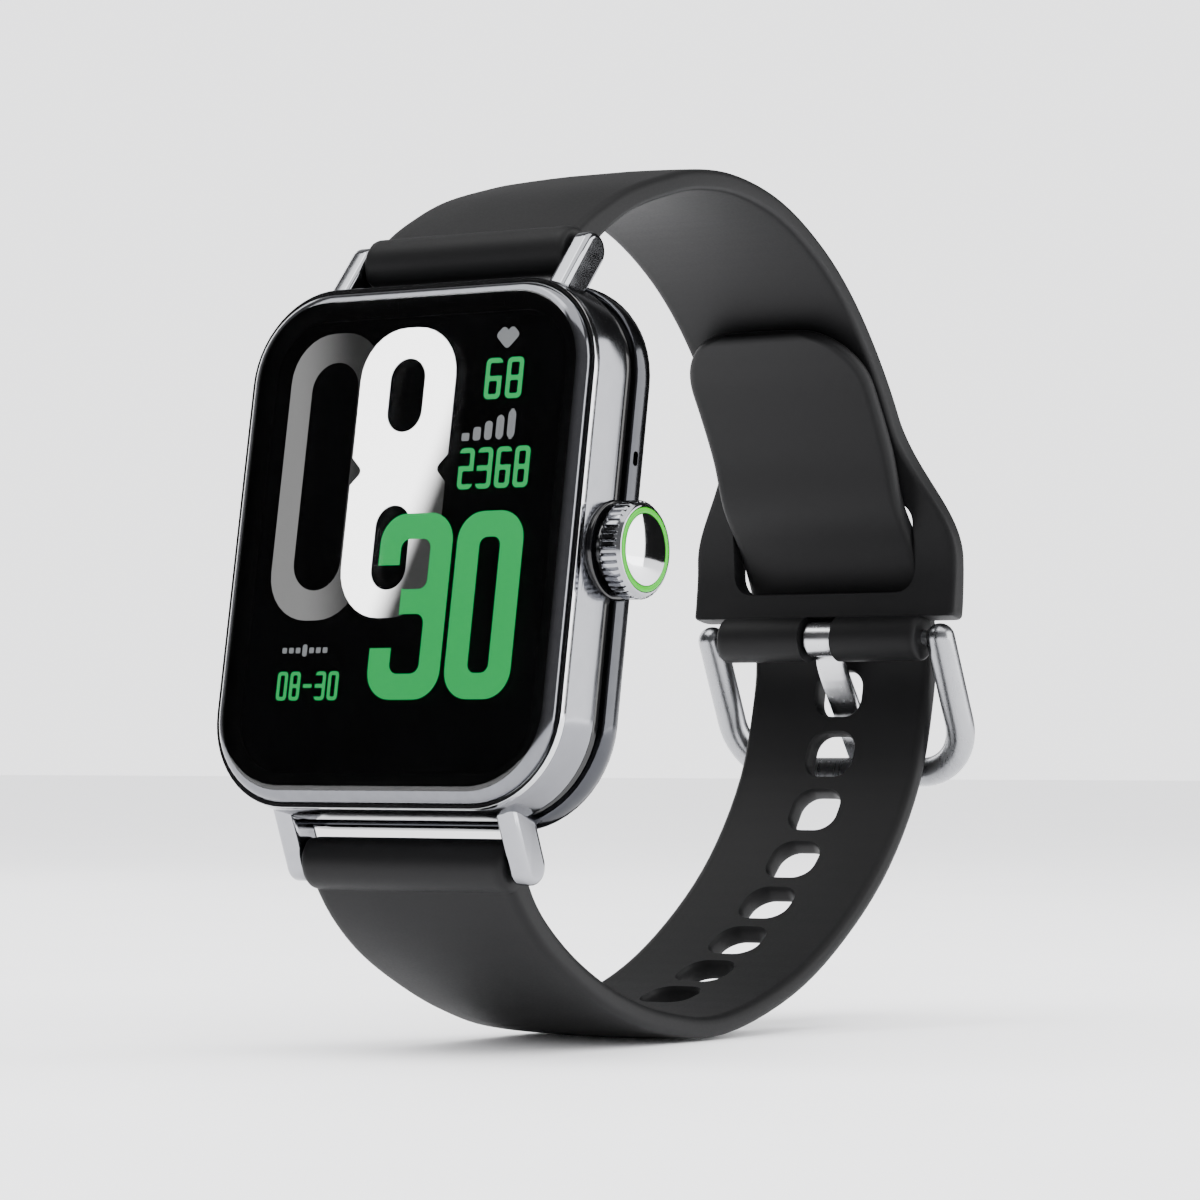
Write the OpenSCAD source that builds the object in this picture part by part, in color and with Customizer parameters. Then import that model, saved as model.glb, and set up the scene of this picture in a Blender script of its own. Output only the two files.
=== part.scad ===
// Rectangular smartwatch on a closed silicone strap, as an assembly of separate pieces.
// x runs across the wrist towards the crown, -y is the way the display faces, z is towards 12 o'clock.
// The origin is the middle of the wrist opening.
// The modules draw in the case's own frame, whose origin is the middle of the bezel's front plane.

/* [Case] */
// width of the bezel
case_w = 37.4; // [34:0.1:42]
// height of the bezel
case_h = 47.1; // [42:0.1:52]
// corner radius of the bezel
corner_r = 8.5; // [5:0.1:11]
// how far the glass stands in front of the bezel
glass_rise = 1.1; // [0.6:0.1:1.6]
// width of the curved border of the glass
glass_curve = 2.3; // [1.5:0.1:3]
// depth of the front frame's ridge behind the bezel's front
ridge_y = 4.5; // [4:0.1:5]
// how far the ridge stands outside the bezel
ridge_out = 0.4; // [0.2:0.1:0.6]
// width of the black groove behind the ridge
groove_w = 1; // [0.8:0.1:1.4]
// how far the rear housing stands outside the bezel
rear_out = 0.9; // [0.6:0.1:1.2]
// depth of the rear housing's widest line
rear_y = 6.8; // [6.4:0.1:7.2]
// depth of the rear housing's back edge
back_y = 8.8; // [8.4:0.1:9.2]
// gap left between neighbouring fixed pieces
fit = 0.05; // [0.02:0.01:0.1]

/* [Crown] */
// depth of the crown's axis behind the bezel's front
crown_y = 5.4; // [5:0.1:5.8]
// radius over the knurl
crown_r = 4.3; // [3.8:0.1:4.8]
// number of knurl grooves
crown_teeth = 42; // [30:2:60]
// plane of the crown's front face
crown_face_x = 22.05; // [21.6:0.05:22.6]
// length of the knurled wheel
crown_len = 2.1; // [1.8:0.1:2.4]
// radius of the stem
stem_r = 0.75; // [0.6:0.05:0.9]
// how far the crown can be pressed
press = 0.4; // [0.2:0.1:0.4]

/* [Lugs and spring bars] */
// distance between the inner faces of a pair of lugs
lug_gap = 22.1; // [20.1:1:24.1]
// thickness of one lug
lug_t = 2.1; // [1.8:0.1:2.6]
// half the depth of a lug, also the radius of its tip
lug_r = 1.65; // [1.4:0.05:1.9]
// depth of the spring bars behind the bezel's front
bar_y = 6.5; // [6:0.1:7]
// height of the spring bars above and below the case's middle
bar_z = 27.5; // [27:0.1:28]
// radius of the spring bar's tube
bar_r = 0.85; // [0.7:0.05:0.9]
// radius of the spring bar's pins
pin_r = 0.42; // [0.35:0.01:0.5]
// travel of the quick-release pin
release = 1.5; // [1.2:0.1:1.6]

/* [Strap] */
// width of the strap at the lugs
strap_w = 21.8; // [20:0.1:24]
// width of the upper half between the lugs and the wide end
mid_w = 20.4; // [18:0.1:22]
// width of the lower half with the holes
tail_w = 20.8; // [18:0.1:22]
// thickness of the strap
strap_t = 2.3; // [2:0.1:2.6]
// radius of the thick end round a spring bar
hub_r = 2.35; // [2:0.05:2.5]
// width of the strap at the buckle
wide_w = 30.6; // [28:0.1:32]
// width of the slot that takes the tail
slot_w = 22.4; // [21:0.1:24]
// lowest edge of the slot
slot_z0 = 9.75; // [9:0.05:11]
// highest edge of the slot
slot_z1 = 19.6; // [18:0.1:22]
// number of adjustment holes
holes = 8; // [6:1:9]
// distance from hole to hole
hole_pitch = 6.6; // [5:0.1:7]
// how far the first hole lies past the strap's rearmost point
hole_lift = 0.1; // [0:0.05:0.5]
// width of a hole across the strap
hole_w = 5.4; // [4.4:0.1:6]
// length of a hole along the strap
hole_l = 5; // [3.6:0.1:5.2]

/* [Buckle] */
// depth of the buckle's bar behind the bezel's front
buckle_y = 71.8; // [71:0.1:73]
// height of the buckle's bar above the case's middle
buckle_z = 5.1; // [4:0.1:6]
// radius of the thick end round the buckle's bar
end_r = 2.3; // [2.2:0.1:2.6]
// half the width of that thick end
end_half = 11.6; // [11:0.1:12]
// radius of the frame's wire
wire_r = 1.45; // [1.2:0.05:1.6]
// distance of an arm's axis from the middle
arm_x = 13.4; // [13:0.1:14]
// length of the frame from its bar to its far bar
frame_l = 14.7; // [13:0.1:16]
// angle of the frame from straight down
frame_lean = 34; // [28:1:38]
// radius of the frame's corners, measured on the wire's axis
frame_corner = 5.6; // [3:0.1:6]
// width of the tongue
tongue_w = 3.2; // [2.6:0.1:3.6]
// thickness of the tongue
tongue_t = 0.95; // [0.8:0.05:1.2]

/* [Inside] */
// width of the display panel
display_w = 33.4; // [30:0.1:34]
// height of the display panel
display_h = 42.8; // [40:0.1:44]
// radius of the sensor window
window_r = 9.5; // [8:0.1:11]
// size of the battery across, deep and high
battery = [22, 2.9, 27]; // [1:0.1:40]
// radius of the vibration motor
motor_r = 3.9; // [3:0.1:4]

/* [Hidden] */
$fn = 64;
wrist_y = 39;
wrist_z = 2.5;
groove_y = ridge_y + groove_w;
lug_x0 = lug_gap / 2;
wall_in = 1.6;
seat_x = case_w / 2 + 0.1;
stem_x0 = 13.6;

// knots of the strap halves' middle lines: depth, height, thickness
upper_knots = [
    [bar_y, bar_z, 2 * hub_r], [9.9, 31.2, 3.1], [14.4, 34.6, 2.4], [20.2, 37.5, strap_t], [26, 39.8, strap_t],
    [33, 41.2, strap_t], [41, 40.9, strap_t], [48.8, 38.6, strap_t], [55.4, 35, strap_t],
    [61.4, 30, strap_t], [66.4, 24.2, strap_t], [69.6, 18.4, 2.1], [71.3, 13, 2.1], [71.8, 8.8, strap_t],
    [buckle_y, buckle_z + 2, strap_t]
];
lower_knots = [
    [bar_y, -bar_z, 2 * hub_r], [9.7, -31, 3.1], [13.6, -33.5, 2.5], [19, -35.6, strap_t], [26, -37.3, strap_t],
    [34, -38, strap_t], [43.7, -37, 2.2], [54.9, -32.1, 2.1], [63.5, -25.7, 2], [70.5, -17.9, 2],
    [75.1, -8.8, 2], [76.4, 0.1, 2], [75.95, 4.9, 2],
    [74.5, 9.8, 1.9], [71.2, 14.3, 1.8], [67.35, 17.95, 1.8], [64.4, 22.75, 1.8],
    [59.8, 28.2, 1.7], [56.8, 30.9, 1.6], [54.5, 32.6, 1.5]
];
// knots of the tongue's middle line, from its own axis
tongue_knots = [
    [1.05, -0.5, tongue_t], [2, -2.6, tongue_t], [6, -6.7, tongue_t], [10.4, -11.3, tongue_t],
    [11.3, -12.8, tongue_t]
];
// points per step of a smooth curve
span = 5;

// ---------- shared shapes ----------

// draws in the case's own frame
module in_case() {
    translate([0, -wrist_y, -wrist_z])
        children();
}

// rectangle with round corners
module rounded(w, h, r) {
    square([w - 2 * r, h], center = true);
    square([w, h - 2 * r], center = true);
    for (sx = [-1, 1], sz = [-1, 1])
        translate([sx * (w / 2 - r), sz * (h / 2 - r)])
            circle(r);
}

// rounded plate from depth y0 to depth y1
module plate(w, h, r, y0, y1) {
    translate([0, y1, 0])
        rotate([90, 0, 0])
            linear_extrude(y1 - y0)
                rounded(w, h, r);
}

// the bezel's outline grown by out
module outline(out, y0, y1) {
    plate(case_w + 2 * out, case_h + 2 * out, corner_r + out, y0, y1);
}

// rod along x
module rod(r, x0, x1) {
    translate([x0, 0, 0])
        rotate([0, 90, 0])
            cylinder(r = r, h = x1 - x0);
}

// rod along y
module post(r, y0, y1) {
    translate([0, y0, 0])
        rotate([-90, 0, 0])
            cylinder(r = r, h = y1 - y0);
}

// side profile drawn as depth and height, made w wide across x
module across(w) {
    rotate([90, 0, 90])
        linear_extrude(w, center = true)
            children();
}

// solid turned about the x axis from a profile of radius and x
module turned() {
    rotate([0, 90, 0])
        rotate_extrude($fn = 96)
            children();
}

// straight bar between two points of a side profile
module link(a, b, t) {
    d = b - a;
    translate(a)
        rotate(atan2(d[1], d[0]))
            translate([0, -t / 2])
                square([norm(d), t]);
    translate(b)
        circle(t / 2);
}

// one step of a smooth curve through knots
function bend(a, b, c, d, t) =
    0.5 * (2 * b + (c - a) * t + (2 * a - 5 * b + 4 * c - d) * t * t + (3 * b - a - 3 * c + d) * t * t * t);

// smooth curve through all knots
function curve(k) = concat(
    [for (i = [0:len(k) - 2], j = [0:span - 1])
        bend(k[max(i - 1, 0)], k[i], k[i + 1], k[min(i + 2, len(k) - 1)], j / span)],
    [k[len(k) - 1]]);

// direction of the curve at point i, in degrees from +y towards +z
function heading(c, i) =
    let (a = c[max(i - 1, 0)], b = c[min(i + 1, len(c) - 1)]) atan2(b[1] - a[1], b[0] - a[0]);

// line half a thickness beside the curve
function beside(c, s) = [for (i = [0:len(c) - 1])
    let (h = heading(c, i)) [c[i][0] - s * c[i][2] / 2 * sin(h), c[i][1] + s * c[i][2] / 2 * cos(h)]];

// length of step i of the curve
function step_len(c, i) = i < len(c) - 1 ? norm([c[i + 1][0] - c[i][0], c[i + 1][1] - c[i][1]]) : 0;

// running length at each point of the curve
function running(c) = [for (i = 0, s = 0; i < len(c); s = s + step_len(c, i), i = i + 1) s];

// place and heading at running length s
function place_at(c, s) =
    let (r = running(c), i = [for (k = [0:len(c) - 2]) if (r[k] <= s && s < r[k + 1]) k][0])
    let (t = (s - r[i]) / (r[i + 1] - r[i]), p = c[i] + (c[i + 1] - c[i]) * t)
    [p[0], p[1], atan2(c[i + 1][1] - c[i][1], c[i + 1][0] - c[i][0])];

// points on a circle round c, from angle a to angle b
function arc(c, r, a, b) = [for (i = [1:23]) let (t = a + (b - a) * i / 24) [c[0] + r * cos(t), c[1] + r * sin(t)]];

// side profile of a strap half, round the spring bar at its start and with more points at its end
module strap_profile(knots, end) {
    c = curve(knots);
    left = beside(c, 1);
    right = beside(c, -1);
    h = heading(c, 0);
    polygon(concat(left, end, [for (i = [len(right) - 1:-1:0]) right[i]], arc(knots[0], hub_r, h - 90, h - 270)));
}

// ---------- case ----------

module cover_glass() {
    in_case()
        color([0.05, 0.05, 0.06, 0.6])
            hull() {
                outline(-0.45, 0.2, 0.4);
                outline(-0.55, -0.25, 0);
                outline(-1.1, -0.75, -0.6);
                outline(-glass_curve, -glass_rise, -glass_rise + 0.2);
            }
}

module ink_border() {
    in_case()
        color([0.02, 0.02, 0.02])
            difference() {
                outline(-0.6, 0.4, 0.5);
                plate(31.6, 41, 5, 0.3, 0.6);
            }
}

module glass_seal() {
    in_case()
        color([0.1, 0.1, 0.1])
            difference() {
                outline(-0.6, 0.5, 0.7);
                plate(display_w + 0.4, display_h + 0.4, 6.6, 0.4, 0.8);
            }
}

module display_panel() {
    in_case()
        color([0.03, 0.03, 0.035])
            plate(display_w, display_h, 6.4, 0.5, 1.9);
}

module bezel_ring() {
    in_case()
        color([0.62, 0.63, 0.65])
            difference() {
                outline(0, 0, 0.7);
                outline(-0.45 + fit, -0.1, 0.8);
            }
}

// everything that is cut out of the case's walls for the crown
module crown_cuts() {
    translate([0, crown_y, 0]) {
        rod(1.6 + fit, 15, 24);
        rod(crown_r + 0.12, seat_x, 24);
        rod(2.4 + fit, 14, 17.25);
    }
}

module mid_frame() {
    in_case()
        color([0.72, 0.73, 0.75])
            difference() {
                hull() {
                    outline(0, 0.7, 0.8);
                    outline(0.25, 1.9, 2);
                    outline(ridge_out, ridge_y - 0.5, ridge_y);
                }
                plate(display_w + 0.4, display_h + 0.4, 6.6, 0.6, 2);
                outline(-wall_in, 1.5, ridge_y + 1);
                crown_cuts();
                lug_sockets(1);
                lug_sockets(-1);
            }
}

module groove_band() {
    in_case()
        color([0.02, 0.02, 0.02])
            difference() {
                outline(0.05, ridge_y, groove_y);
                outline(-wall_in, ridge_y - 1, groove_y + 1);
                crown_cuts();
                lug_sockets(1);
                lug_sockets(-1);
            }
}

// sound slot on the crown's side
module mic_cut() {
    translate([case_w / 2 - 3, groove_y + 0.75, 8.3])
        rotate([0, 90, 0])
            linear_extrude(6)
                rounded(1.3, 0.6, 0.29);
}

module rear_housing() {
    in_case()
        color([0.5, 0.51, 0.53])
            difference() {
                hull() {
                    outline(0.7, groove_y, groove_y + 0.2);
                    outline(rear_out, rear_y - 0.5, rear_y);
                    outline(rear_out - 0.5, 7.9, 8);
                    outline(-0.9, back_y - 0.1, back_y);
                }
                outline(-wall_in, groove_y - 1, 7.6);
                plate(33.2, 42.2, 6.7, 7, 9);
                crown_cuts();
                mic_cut();
                lug_sockets(1);
                lug_sockets(-1);
            }
}

module back_cover() {
    in_case()
        color([0.06, 0.06, 0.07])
            difference() {
                plate(33, 42, 6.6, 7.8, 9.1);
                post(window_r + fit, 7, 10);
                for (x = [-3.2, 3.2])
                    translate([x, 0, -14.5])
                        post(0.9 + fit, 7, 10);
                screw_places()
                    post(0.7, 7, 10);
                screw_places()
                    post(1.3, 8.5, 10);
            }
}

module back_seal() {
    in_case()
        color([0.15, 0.15, 0.16])
            difference() {
                plate(32.6, 41.6, 6.4, 7.6, 7.8);
                plate(30.8, 39.8, 5.6, 7.5, 7.9);
                screw_places()
                    post(0.75, 7, 10);
            }
}

module screw_places() {
    for (sx = [-1, 1], sz = [-1, 1])
        translate([sx * 13.2, 0, sz * 17.6])
            children();
}

module back_screws() {
    in_case()
        color([0.7, 0.7, 0.72])
            screw_places()
                difference() {
                    union() {
                        post(0.6, 4.4, 8.6);
                        post(1.2, 8.5, 9);
                    }
                    translate([-0.9, 8.75, -0.14])
                        cube([1.8, 0.4, 0.28]);
                    translate([-0.14, 8.75, -0.9])
                        cube([0.28, 0.4, 1.8]);
                }
}

module sensor_window() {
    in_case()
        color([0.05, 0.05, 0.06, 0.7])
            intersection() {
                post(window_r, 8.2, 11);
                translate([0, -40.2, 0])
                    sphere(50.4, $fn = 160);
            }
}

module sensor_board() {
    in_case()
        color([0.1, 0.3, 0.15]) {
            difference() {
                post(8.6, 7.85, 8.2);
                translate([0, 0, 0])
                    post(1.4, 7.7, 8.4);
                for (x = [-4.4, 4.4])
                    translate([x, 0, 0])
                        post(1.6, 7.7, 8.4);
            }
        }
}

module charging_pins() {
    in_case()
        color([0.85, 0.68, 0.3])
            for (x = [-3.2, 3.2])
                translate([x, 0, -14.5]) {
                    post(0.9, 7.7, 9);
                    intersection() {
                        post(0.9, 8.9, 10);
                        translate([0, 7.6, 0])
                            sphere(1.7);
                    }
                }
}

// ---------- inside the case ----------

module chassis() {
    in_case()
        color([0.12, 0.12, 0.13])
            difference() {
                plate(34.1, 43.6, 6.6, 2, 7.6);
                // board bay
                plate(31.4, 40.9, 5, 1.9, 4.1);
                // battery bay
                translate([-14.4, 4, -13.9])
                    cube([22.6, 4, 27.8]);
                // crown works
                translate([8.6, 2.9, -4.2])
                    cube([10, 5, 8.4]);
                // motor, speaker and microphone
                translate([-7.4, 0, -17.7])
                    post(motor_r + 0.1, 4, 8);
                translate([3, 4, -20.1])
                    cube([8, 4, 4.2]);
                translate([14.2, 4, 6.8])
                    cube([4, 2.6, 3]);
                // sensor board and the charging pins' springs
                post(8.8, 7.3, 8);
                translate([-4.4, 6.6, -15.7])
                    cube([8.8, 2, 1.7]);
                screw_places()
                    post(0.6, 4, 8);
            }
}

module main_board() {
    in_case()
        color([0.05, 0.25, 0.12])
            difference() {
                plate(31, 40.4, 4.8, 2.3, 3.1);
                translate([-17, 2, 4])
                    cube([5, 2, 9]);
            }
}

module shield_can() {
    in_case()
        color([0.75, 0.76, 0.78])
            translate([-9, 3.1, -2])
                cube([17, 0.9, 14]);
}

module display_flex() {
    in_case()
        color([0.8, 0.5, 0.15])
            union() {
                translate([-5, 1.9, -19])
                    cube([10, 0.2, 5]);
                translate([-5, 1.9, -14.2])
                    cube([10, 0.4, 0.2]);
            }
}

module battery_cell() {
    in_case()
        color([0.45, 0.47, 0.5])
            translate([-14.1, 4.4, -battery[2] / 2])
                cube(battery);
}

module motor_can() {
    in_case()
        color([0.8, 0.8, 0.82])
            translate([-7.4, 0, -17.7])
                difference() {
                    post(motor_r, 4.2, 6.8);
                    difference() {
                        post(motor_r - 0.3, 4.5, 6.5);
                        post(0.4, 4.4, 6.6);
                    }
                }
}

module motor_rotor() {
    in_case()
        color([0.6, 0.45, 0.25])
            translate([-7.4, 0, -17.7])
                difference() {
                    post(motor_r - 0.6, 4.7, 6.3);
                    post(0.45, 4, 7);
                    translate([-5, 4, 0.9])
                        cube([10, 3, 5]);
                }
}

module speaker() {
    in_case()
        color([0.3, 0.3, 0.32])
            difference() {
                translate([3.2, 4.4, -19.9])
                    cube([7.6, 2.8, 3.8]);
                translate([4.2, 7, -19])
                    cube([5.6, 1, 2]);
            }
}

module microphone() {
    in_case()
        color([0.78, 0.7, 0.5])
            translate([14.6, 4.4, 7.1])
                cube([2.4, 1.8, 2.4]);
}

// ---------- crown ----------

module on_crown_axis() {
    in_case()
        translate([0, crown_y, 0])
            children();
}

module switch_body() {
    on_crown_axis()
        color([0.15, 0.15, 0.16])
            difference() {
                translate([10.4, -1.3, -1.9])
                    cube([2.5, 2.6, 3.8]);
                rod(0.68, 11.6, 14);
            }
}

module switch_plunger() {
    on_crown_axis()
        color([0.85, 0.82, 0.75])
            rod(0.62, 12.3, stem_x0 - 0.05);
}

module crown_seat() {
    on_crown_axis()
        color([0.03, 0.03, 0.03])
            difference() {
                rod(crown_r + 0.07, seat_x, seat_x + 0.5);
                rod(1.8, 18, 21);
            }
}

module crown_bushing() {
    on_crown_axis()
        color([0.6, 0.6, 0.62])
            difference() {
                union() {
                    rod(1.6, 16.6, seat_x);
                    rod(2.4, 16.5, 17.15);
                }
                rod(stem_r + 0.05, 16, 20);
                rod(1.24, 17.6, 18.2);
            }
}

module crown_seal() {
    on_crown_axis()
        color([0.05, 0.05, 0.05])
            translate([17.9, 0, 0])
                rotate([0, 90, 0])
                    rotate_extrude($fn = 48)
                        translate([stem_r + 0.27, 0])
                            circle(0.21, $fn = 24);
}

module crown_stem() {
    on_crown_axis()
        color([0.7, 0.7, 0.72])
            difference() {
                rod(stem_r, stem_x0, 21);
                difference() {
                    rod(2, 15.9, 16.3);
                    rod(0.55, 15, 17);
                }
            }
}

module crown_clip() {
    on_crown_axis()
        color([0.6, 0.6, 0.62])
            difference() {
                rod(1.45, 15.95, 16.25);
                rod(0.6, 15, 17);
                translate([15, -0.5, 0])
                    cube([2, 1, 3]);
            }
}

module encoder_wheel() {
    on_crown_axis()
        color([0.2, 0.2, 0.22])
            difference() {
                rod(1.25, 14.2, 15);
                rod(stem_r, 13, 16);
                for (i = [0:11])
                    rotate([i * 30, 0, 0])
                        translate([13, 1.08, -0.12])
                            cube([3, 1, 0.24]);
            }
}

module crown_knob() {
    x0 = crown_face_x - crown_len;
    on_crown_axis()
        color([0.62, 0.63, 0.65])
            difference() {
                turned()
                    polygon([[0, x0], [crown_r - 0.25, x0], [crown_r, x0 + 0.2], [crown_r, crown_face_x - 0.5],
                        [crown_r - 0.16, crown_face_x - 0.18], [crown_r - 0.36, crown_face_x],
                        [0, crown_face_x]]);
                rod(3.68, 21.45, 23);
                rod(stem_r, 19, 21);
                for (i = [0:crown_teeth - 1])
                    rotate([i * 360 / crown_teeth, 0, 0])
                        translate([0, crown_r + 0.06, 0])
                            rod(0.2, x0 - 1, crown_face_x - 0.45, $fn = 12);
            }
}

module crown_ring() {
    on_crown_axis()
        color([0.36, 0.77, 0.18])
            turned()
                polygon([[3.16, 21.45], [3.66, 21.45], [3.66, crown_face_x - 0.02], [3.58, crown_face_x + 0.06],
                    [3.24, crown_face_x + 0.06], [3.16, crown_face_x - 0.02]]);
}

module crown_cap() {
    on_crown_axis()
        color([0.1, 0.1, 0.11])
            intersection() {
                rod(3.14, 21.45, 24);
                translate([22.4 - 16, 0, 0])
                    sphere(16, $fn = 160);
            }
}

// ---------- lugs ----------

// side profile of one lug, grown by g
module lug_profile(g) {
    a = [4.3, 23.9];
    b = [bar_y, bar_z];
    intersection() {
        union() {
            translate(a)
                circle(lug_r + g);
            link(a, b, 2 * (lug_r + g));
        }
        translate([0, 22.6 - g])
            square([12, 10]);
    }
}

module lug_pair(side, g) {
    for (sx = [-1, 1])
        translate([sx * (lug_x0 + lug_t / 2), 0, 0])
            mirror([0, 0, side < 0 ? 1 : 0])
                across(lug_t + 2 * g)
                    lug_profile(g);
}

module lug_sockets(side) {
    lug_pair(side, fit);
}

module lugs(side) {
    in_case()
        color([0.78, 0.79, 0.8])
            difference() {
                lug_pair(side, 0);
                translate([0, bar_y, side * bar_z])
                    rod(pin_r + 0.03, -lug_x0 - 1.3, lug_x0 + 1.3);
            }
}

module lugs_upper() {
    lugs(1);
}

module lugs_lower() {
    lugs(-1);
}

// ---------- spring bars ----------

// everything that a spring bar needs cut out of a strap end
module bar_cuts(side) {
    translate([0, bar_y, side * bar_z]) {
        rod(bar_r + 0.02, -20, 20);
        translate([3.4, 0, -0.75])
            cube([4.2, 5, 1.5]);
    }
}

module bar_tube(side) {
    in_case()
        color([0.7, 0.7, 0.72])
            translate([0, bar_y, side * bar_z])
                difference() {
                    union() {
                        rod(bar_r, -10.7, 10.7);
                        rod(pin_r, -lug_x0 - 1.2, -10.7);
                    }
                    rod(pin_r + 0.16, -2, 12);
                    translate([3.7, 0, -0.45])
                        cube([3.6, 2, 0.9]);
                }
}

module release_pin(side) {
    in_case()
        color([0.75, 0.75, 0.77])
            translate([0, bar_y, side * bar_z]) {
                rod(pin_r + 0.13, 2.2, 10.2);
                rod(pin_r, 10.2, lug_x0 + 1.2);
                translate([6.4, 0, 0])
                    post(0.42, 0, 2.3);
            }
}

module bar_spring(side) {
    in_case()
        color([0.6, 0.6, 0.62])
            translate([0, bar_y, side * bar_z])
                difference() {
                    rod(pin_r + 0.12, -1.9, 0.6);
                    rod(0.3, -3, 2);
                }
}

// ---------- strap ----------

// half width of the upper half near its wide end, at height z
function flare(z) = let (t = min(max((26 - z) / 13, 0), 1))
    mid_w / 2 + (wide_w - mid_w) / 2 * (0.5 - 0.5 * cos(t * 180));

// half width of a strap half near the lugs, at depth y, ending at half width w
function taper(y, w) = let (t = min(max((y - 9) / 21, 0), 1))
    strap_w / 2 + (w - strap_w / 2) * (0.5 - 0.5 * cos(t * 180));

// closed outline, symmetric about the height axis, through points on its right side
module symmetric(p) {
    polygon(concat(p, [for (i = [len(p) - 1:-1:0]) [-p[i][0], p[i][1]]]));
}

// keeps what lies over a plan drawn as x and depth
module over_plan() {
    translate([0, 0, -60])
        linear_extrude(120)
            children();
}

// keeps what lies behind a front outline drawn as x and height
module behind_outline() {
    translate([0, 100, 0])
        rotate([90, 0, 0])
            linear_extrude(120)
                children();
}

module strap_upper() {
    shoulder_z = buckle_z + 2;
    front = [for (y = [8:2:30]) [taper(y, mid_w / 2), y]];
    in_case()
        color([0.09, 0.09, 0.095])
            difference() {
                intersection() {
                    across(wide_w)
                        strap_profile(upper_knots, arc([buckle_y, buckle_z], end_r, 60, -240));
                    over_plan()
                        symmetric(concat([[strap_w / 2, 0]], front, [[wide_w / 2, 44], [wide_w / 2, 80]]));
                    union() {
                        behind_outline()
                            symmetric(concat(
                                [[end_half, 0], [end_half, shoulder_z], [wide_w / 2, shoulder_z]],
                                [for (z = [13:1:26]) [flare(z), z]], [[mid_w / 2, 60]]));
                        translate([-strap_w / 2, 0, 20])
                            cube([strap_w, 30, 40]);
                    }
                }
                bar_cuts(1);
                // slot for the tail
                translate([0, 80, (slot_z0 + slot_z1) / 2])
                    rotate([90, 0, 0])
                        linear_extrude(20)
                            rounded(slot_w, slot_z1 - slot_z0, 2);
                // notch for the tongue and bore for the buckle's bar
                translate([-tongue_w / 2 - 0.3, buckle_y - 4, buckle_z - 4])
                    cube([tongue_w + 0.6, 8, 6.1]);
                translate([0, buckle_y, buckle_z])
                    rod(0.8, -16, 16);
            }
}

module strap_lower() {
    c = curve(lower_knots);
    first = running(c)[11 * span] + hole_lift;
    front = [for (y = [8:2:30]) [taper(y, tail_w / 2), y]];
    in_case()
        color([0.09, 0.09, 0.095])
            difference() {
                intersection() {
                    across(strap_w)
                        strap_profile(lower_knots, []);
                    over_plan()
                        symmetric(concat([[strap_w / 2, 0]], front, [[tail_w / 2, 90]]));
                    // round tip
                    behind_outline() {
                        translate([-strap_w / 2, -60])
                            square([strap_w, 60 + 24]);
                        translate([0, 24 - 16])
                            rounded(tail_w, 2 * 26.4, 7);
                    }
                }
                bar_cuts(-1);
                // adjustment holes
                for (k = [0:holes - 1]) {
                    p = place_at(c, first - k * hole_pitch);
                    translate([0, p[0], p[1]])
                        rotate([p[2], 0, 0])
                            linear_extrude(6, center = true)
                                rounded(hole_w, hole_l, 1.9);
                }
            }
}

// ---------- buckle ----------

// the frame's own plane: origin on its bar, +y down along the arms
module on_buckle() {
    in_case()
        translate([0, buckle_y, buckle_z])
            rotate([frame_lean - 90, 0, 0])
                children();
}

module buckle_frame() {
    straight = frame_l - frame_corner;
    on_buckle()
        color([0.7, 0.7, 0.71])
            difference() {
                union() {
                    for (sx = [-1, 1]) {
                        translate([sx * arm_x, 0, 0])
                            sphere(wire_r);
                        translate([sx * arm_x, 0, 0])
                            post(wire_r, 0, straight);
                        translate([sx * (arm_x - frame_corner), straight, 0])
                            rotate([0, 0, sx > 0 ? 0 : 90])
                                rotate_extrude(angle = 90)
                                    translate([frame_corner, 0])
                                        circle(wire_r);
                    }
                    translate([0, frame_l, 0])
                        rod(wire_r, -arm_x + frame_corner, arm_x - frame_corner);
                }
                rod(0.75, -arm_x - 0.4, arm_x + 0.4);
            }
}

module buckle_bar() {
    in_case()
        color([0.7, 0.7, 0.72])
            translate([0, buckle_y, buckle_z])
                rod(0.75, -arm_x - 0.4, arm_x + 0.4);
}

module buckle_tongue() {
    r = 0.8 + tongue_t;
    c = curve(tongue_knots);
    left = [for (p = beside(c, 1)) if (norm(p) > r + 0.02) p];
    right = [for (p = beside(c, -1)) if (norm(p) > r + 0.02) p];
    a = atan2(right[0][1], right[0][0]) - 4;
    b = atan2(left[0][1], left[0][0]) + 4;
    in_case()
        color([0.8, 0.8, 0.82])
            translate([0, buckle_y, buckle_z])
                across(tongue_w)
                    difference() {
                        polygon(concat(left, [for (i = [len(right) - 1:-1:0]) right[i]], arc([0, 0], r, a, b - 360)));
                        circle(0.8);
                    }
}

// ---------- nodes ----------

cover_glass();
ink_border();
glass_seal();
display_panel();
bezel_ring();
mid_frame();
groove_band();
rear_housing();
back_cover();
back_seal();
sensor_window();
sensor_board();
charging_pins();
back_screws();
chassis();
main_board();
shield_can();
display_flex();
battery_cell();  // battery
motor_can();
motor_rotor();
speaker();
microphone();
switch_body();
switch_plunger();
crown_seat();
crown_bushing();
crown_seal();
crown_stem();
crown_clip();
encoder_wheel();
crown_knob();
crown_ring();
crown_cap();
lugs_upper();
lugs_lower();
strap_upper();
strap_lower();
bar_tube(1);  // bar_tube_upper
bar_tube(-1);  // bar_tube_lower
bar_spring(1);  // bar_spring_upper
bar_spring(-1);  // bar_spring_lower
release_pin(1);  // release_pin_upper
release_pin(-1);  // release_pin_lower
buckle_frame();
buckle_bar();
buckle_tongue();
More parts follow.
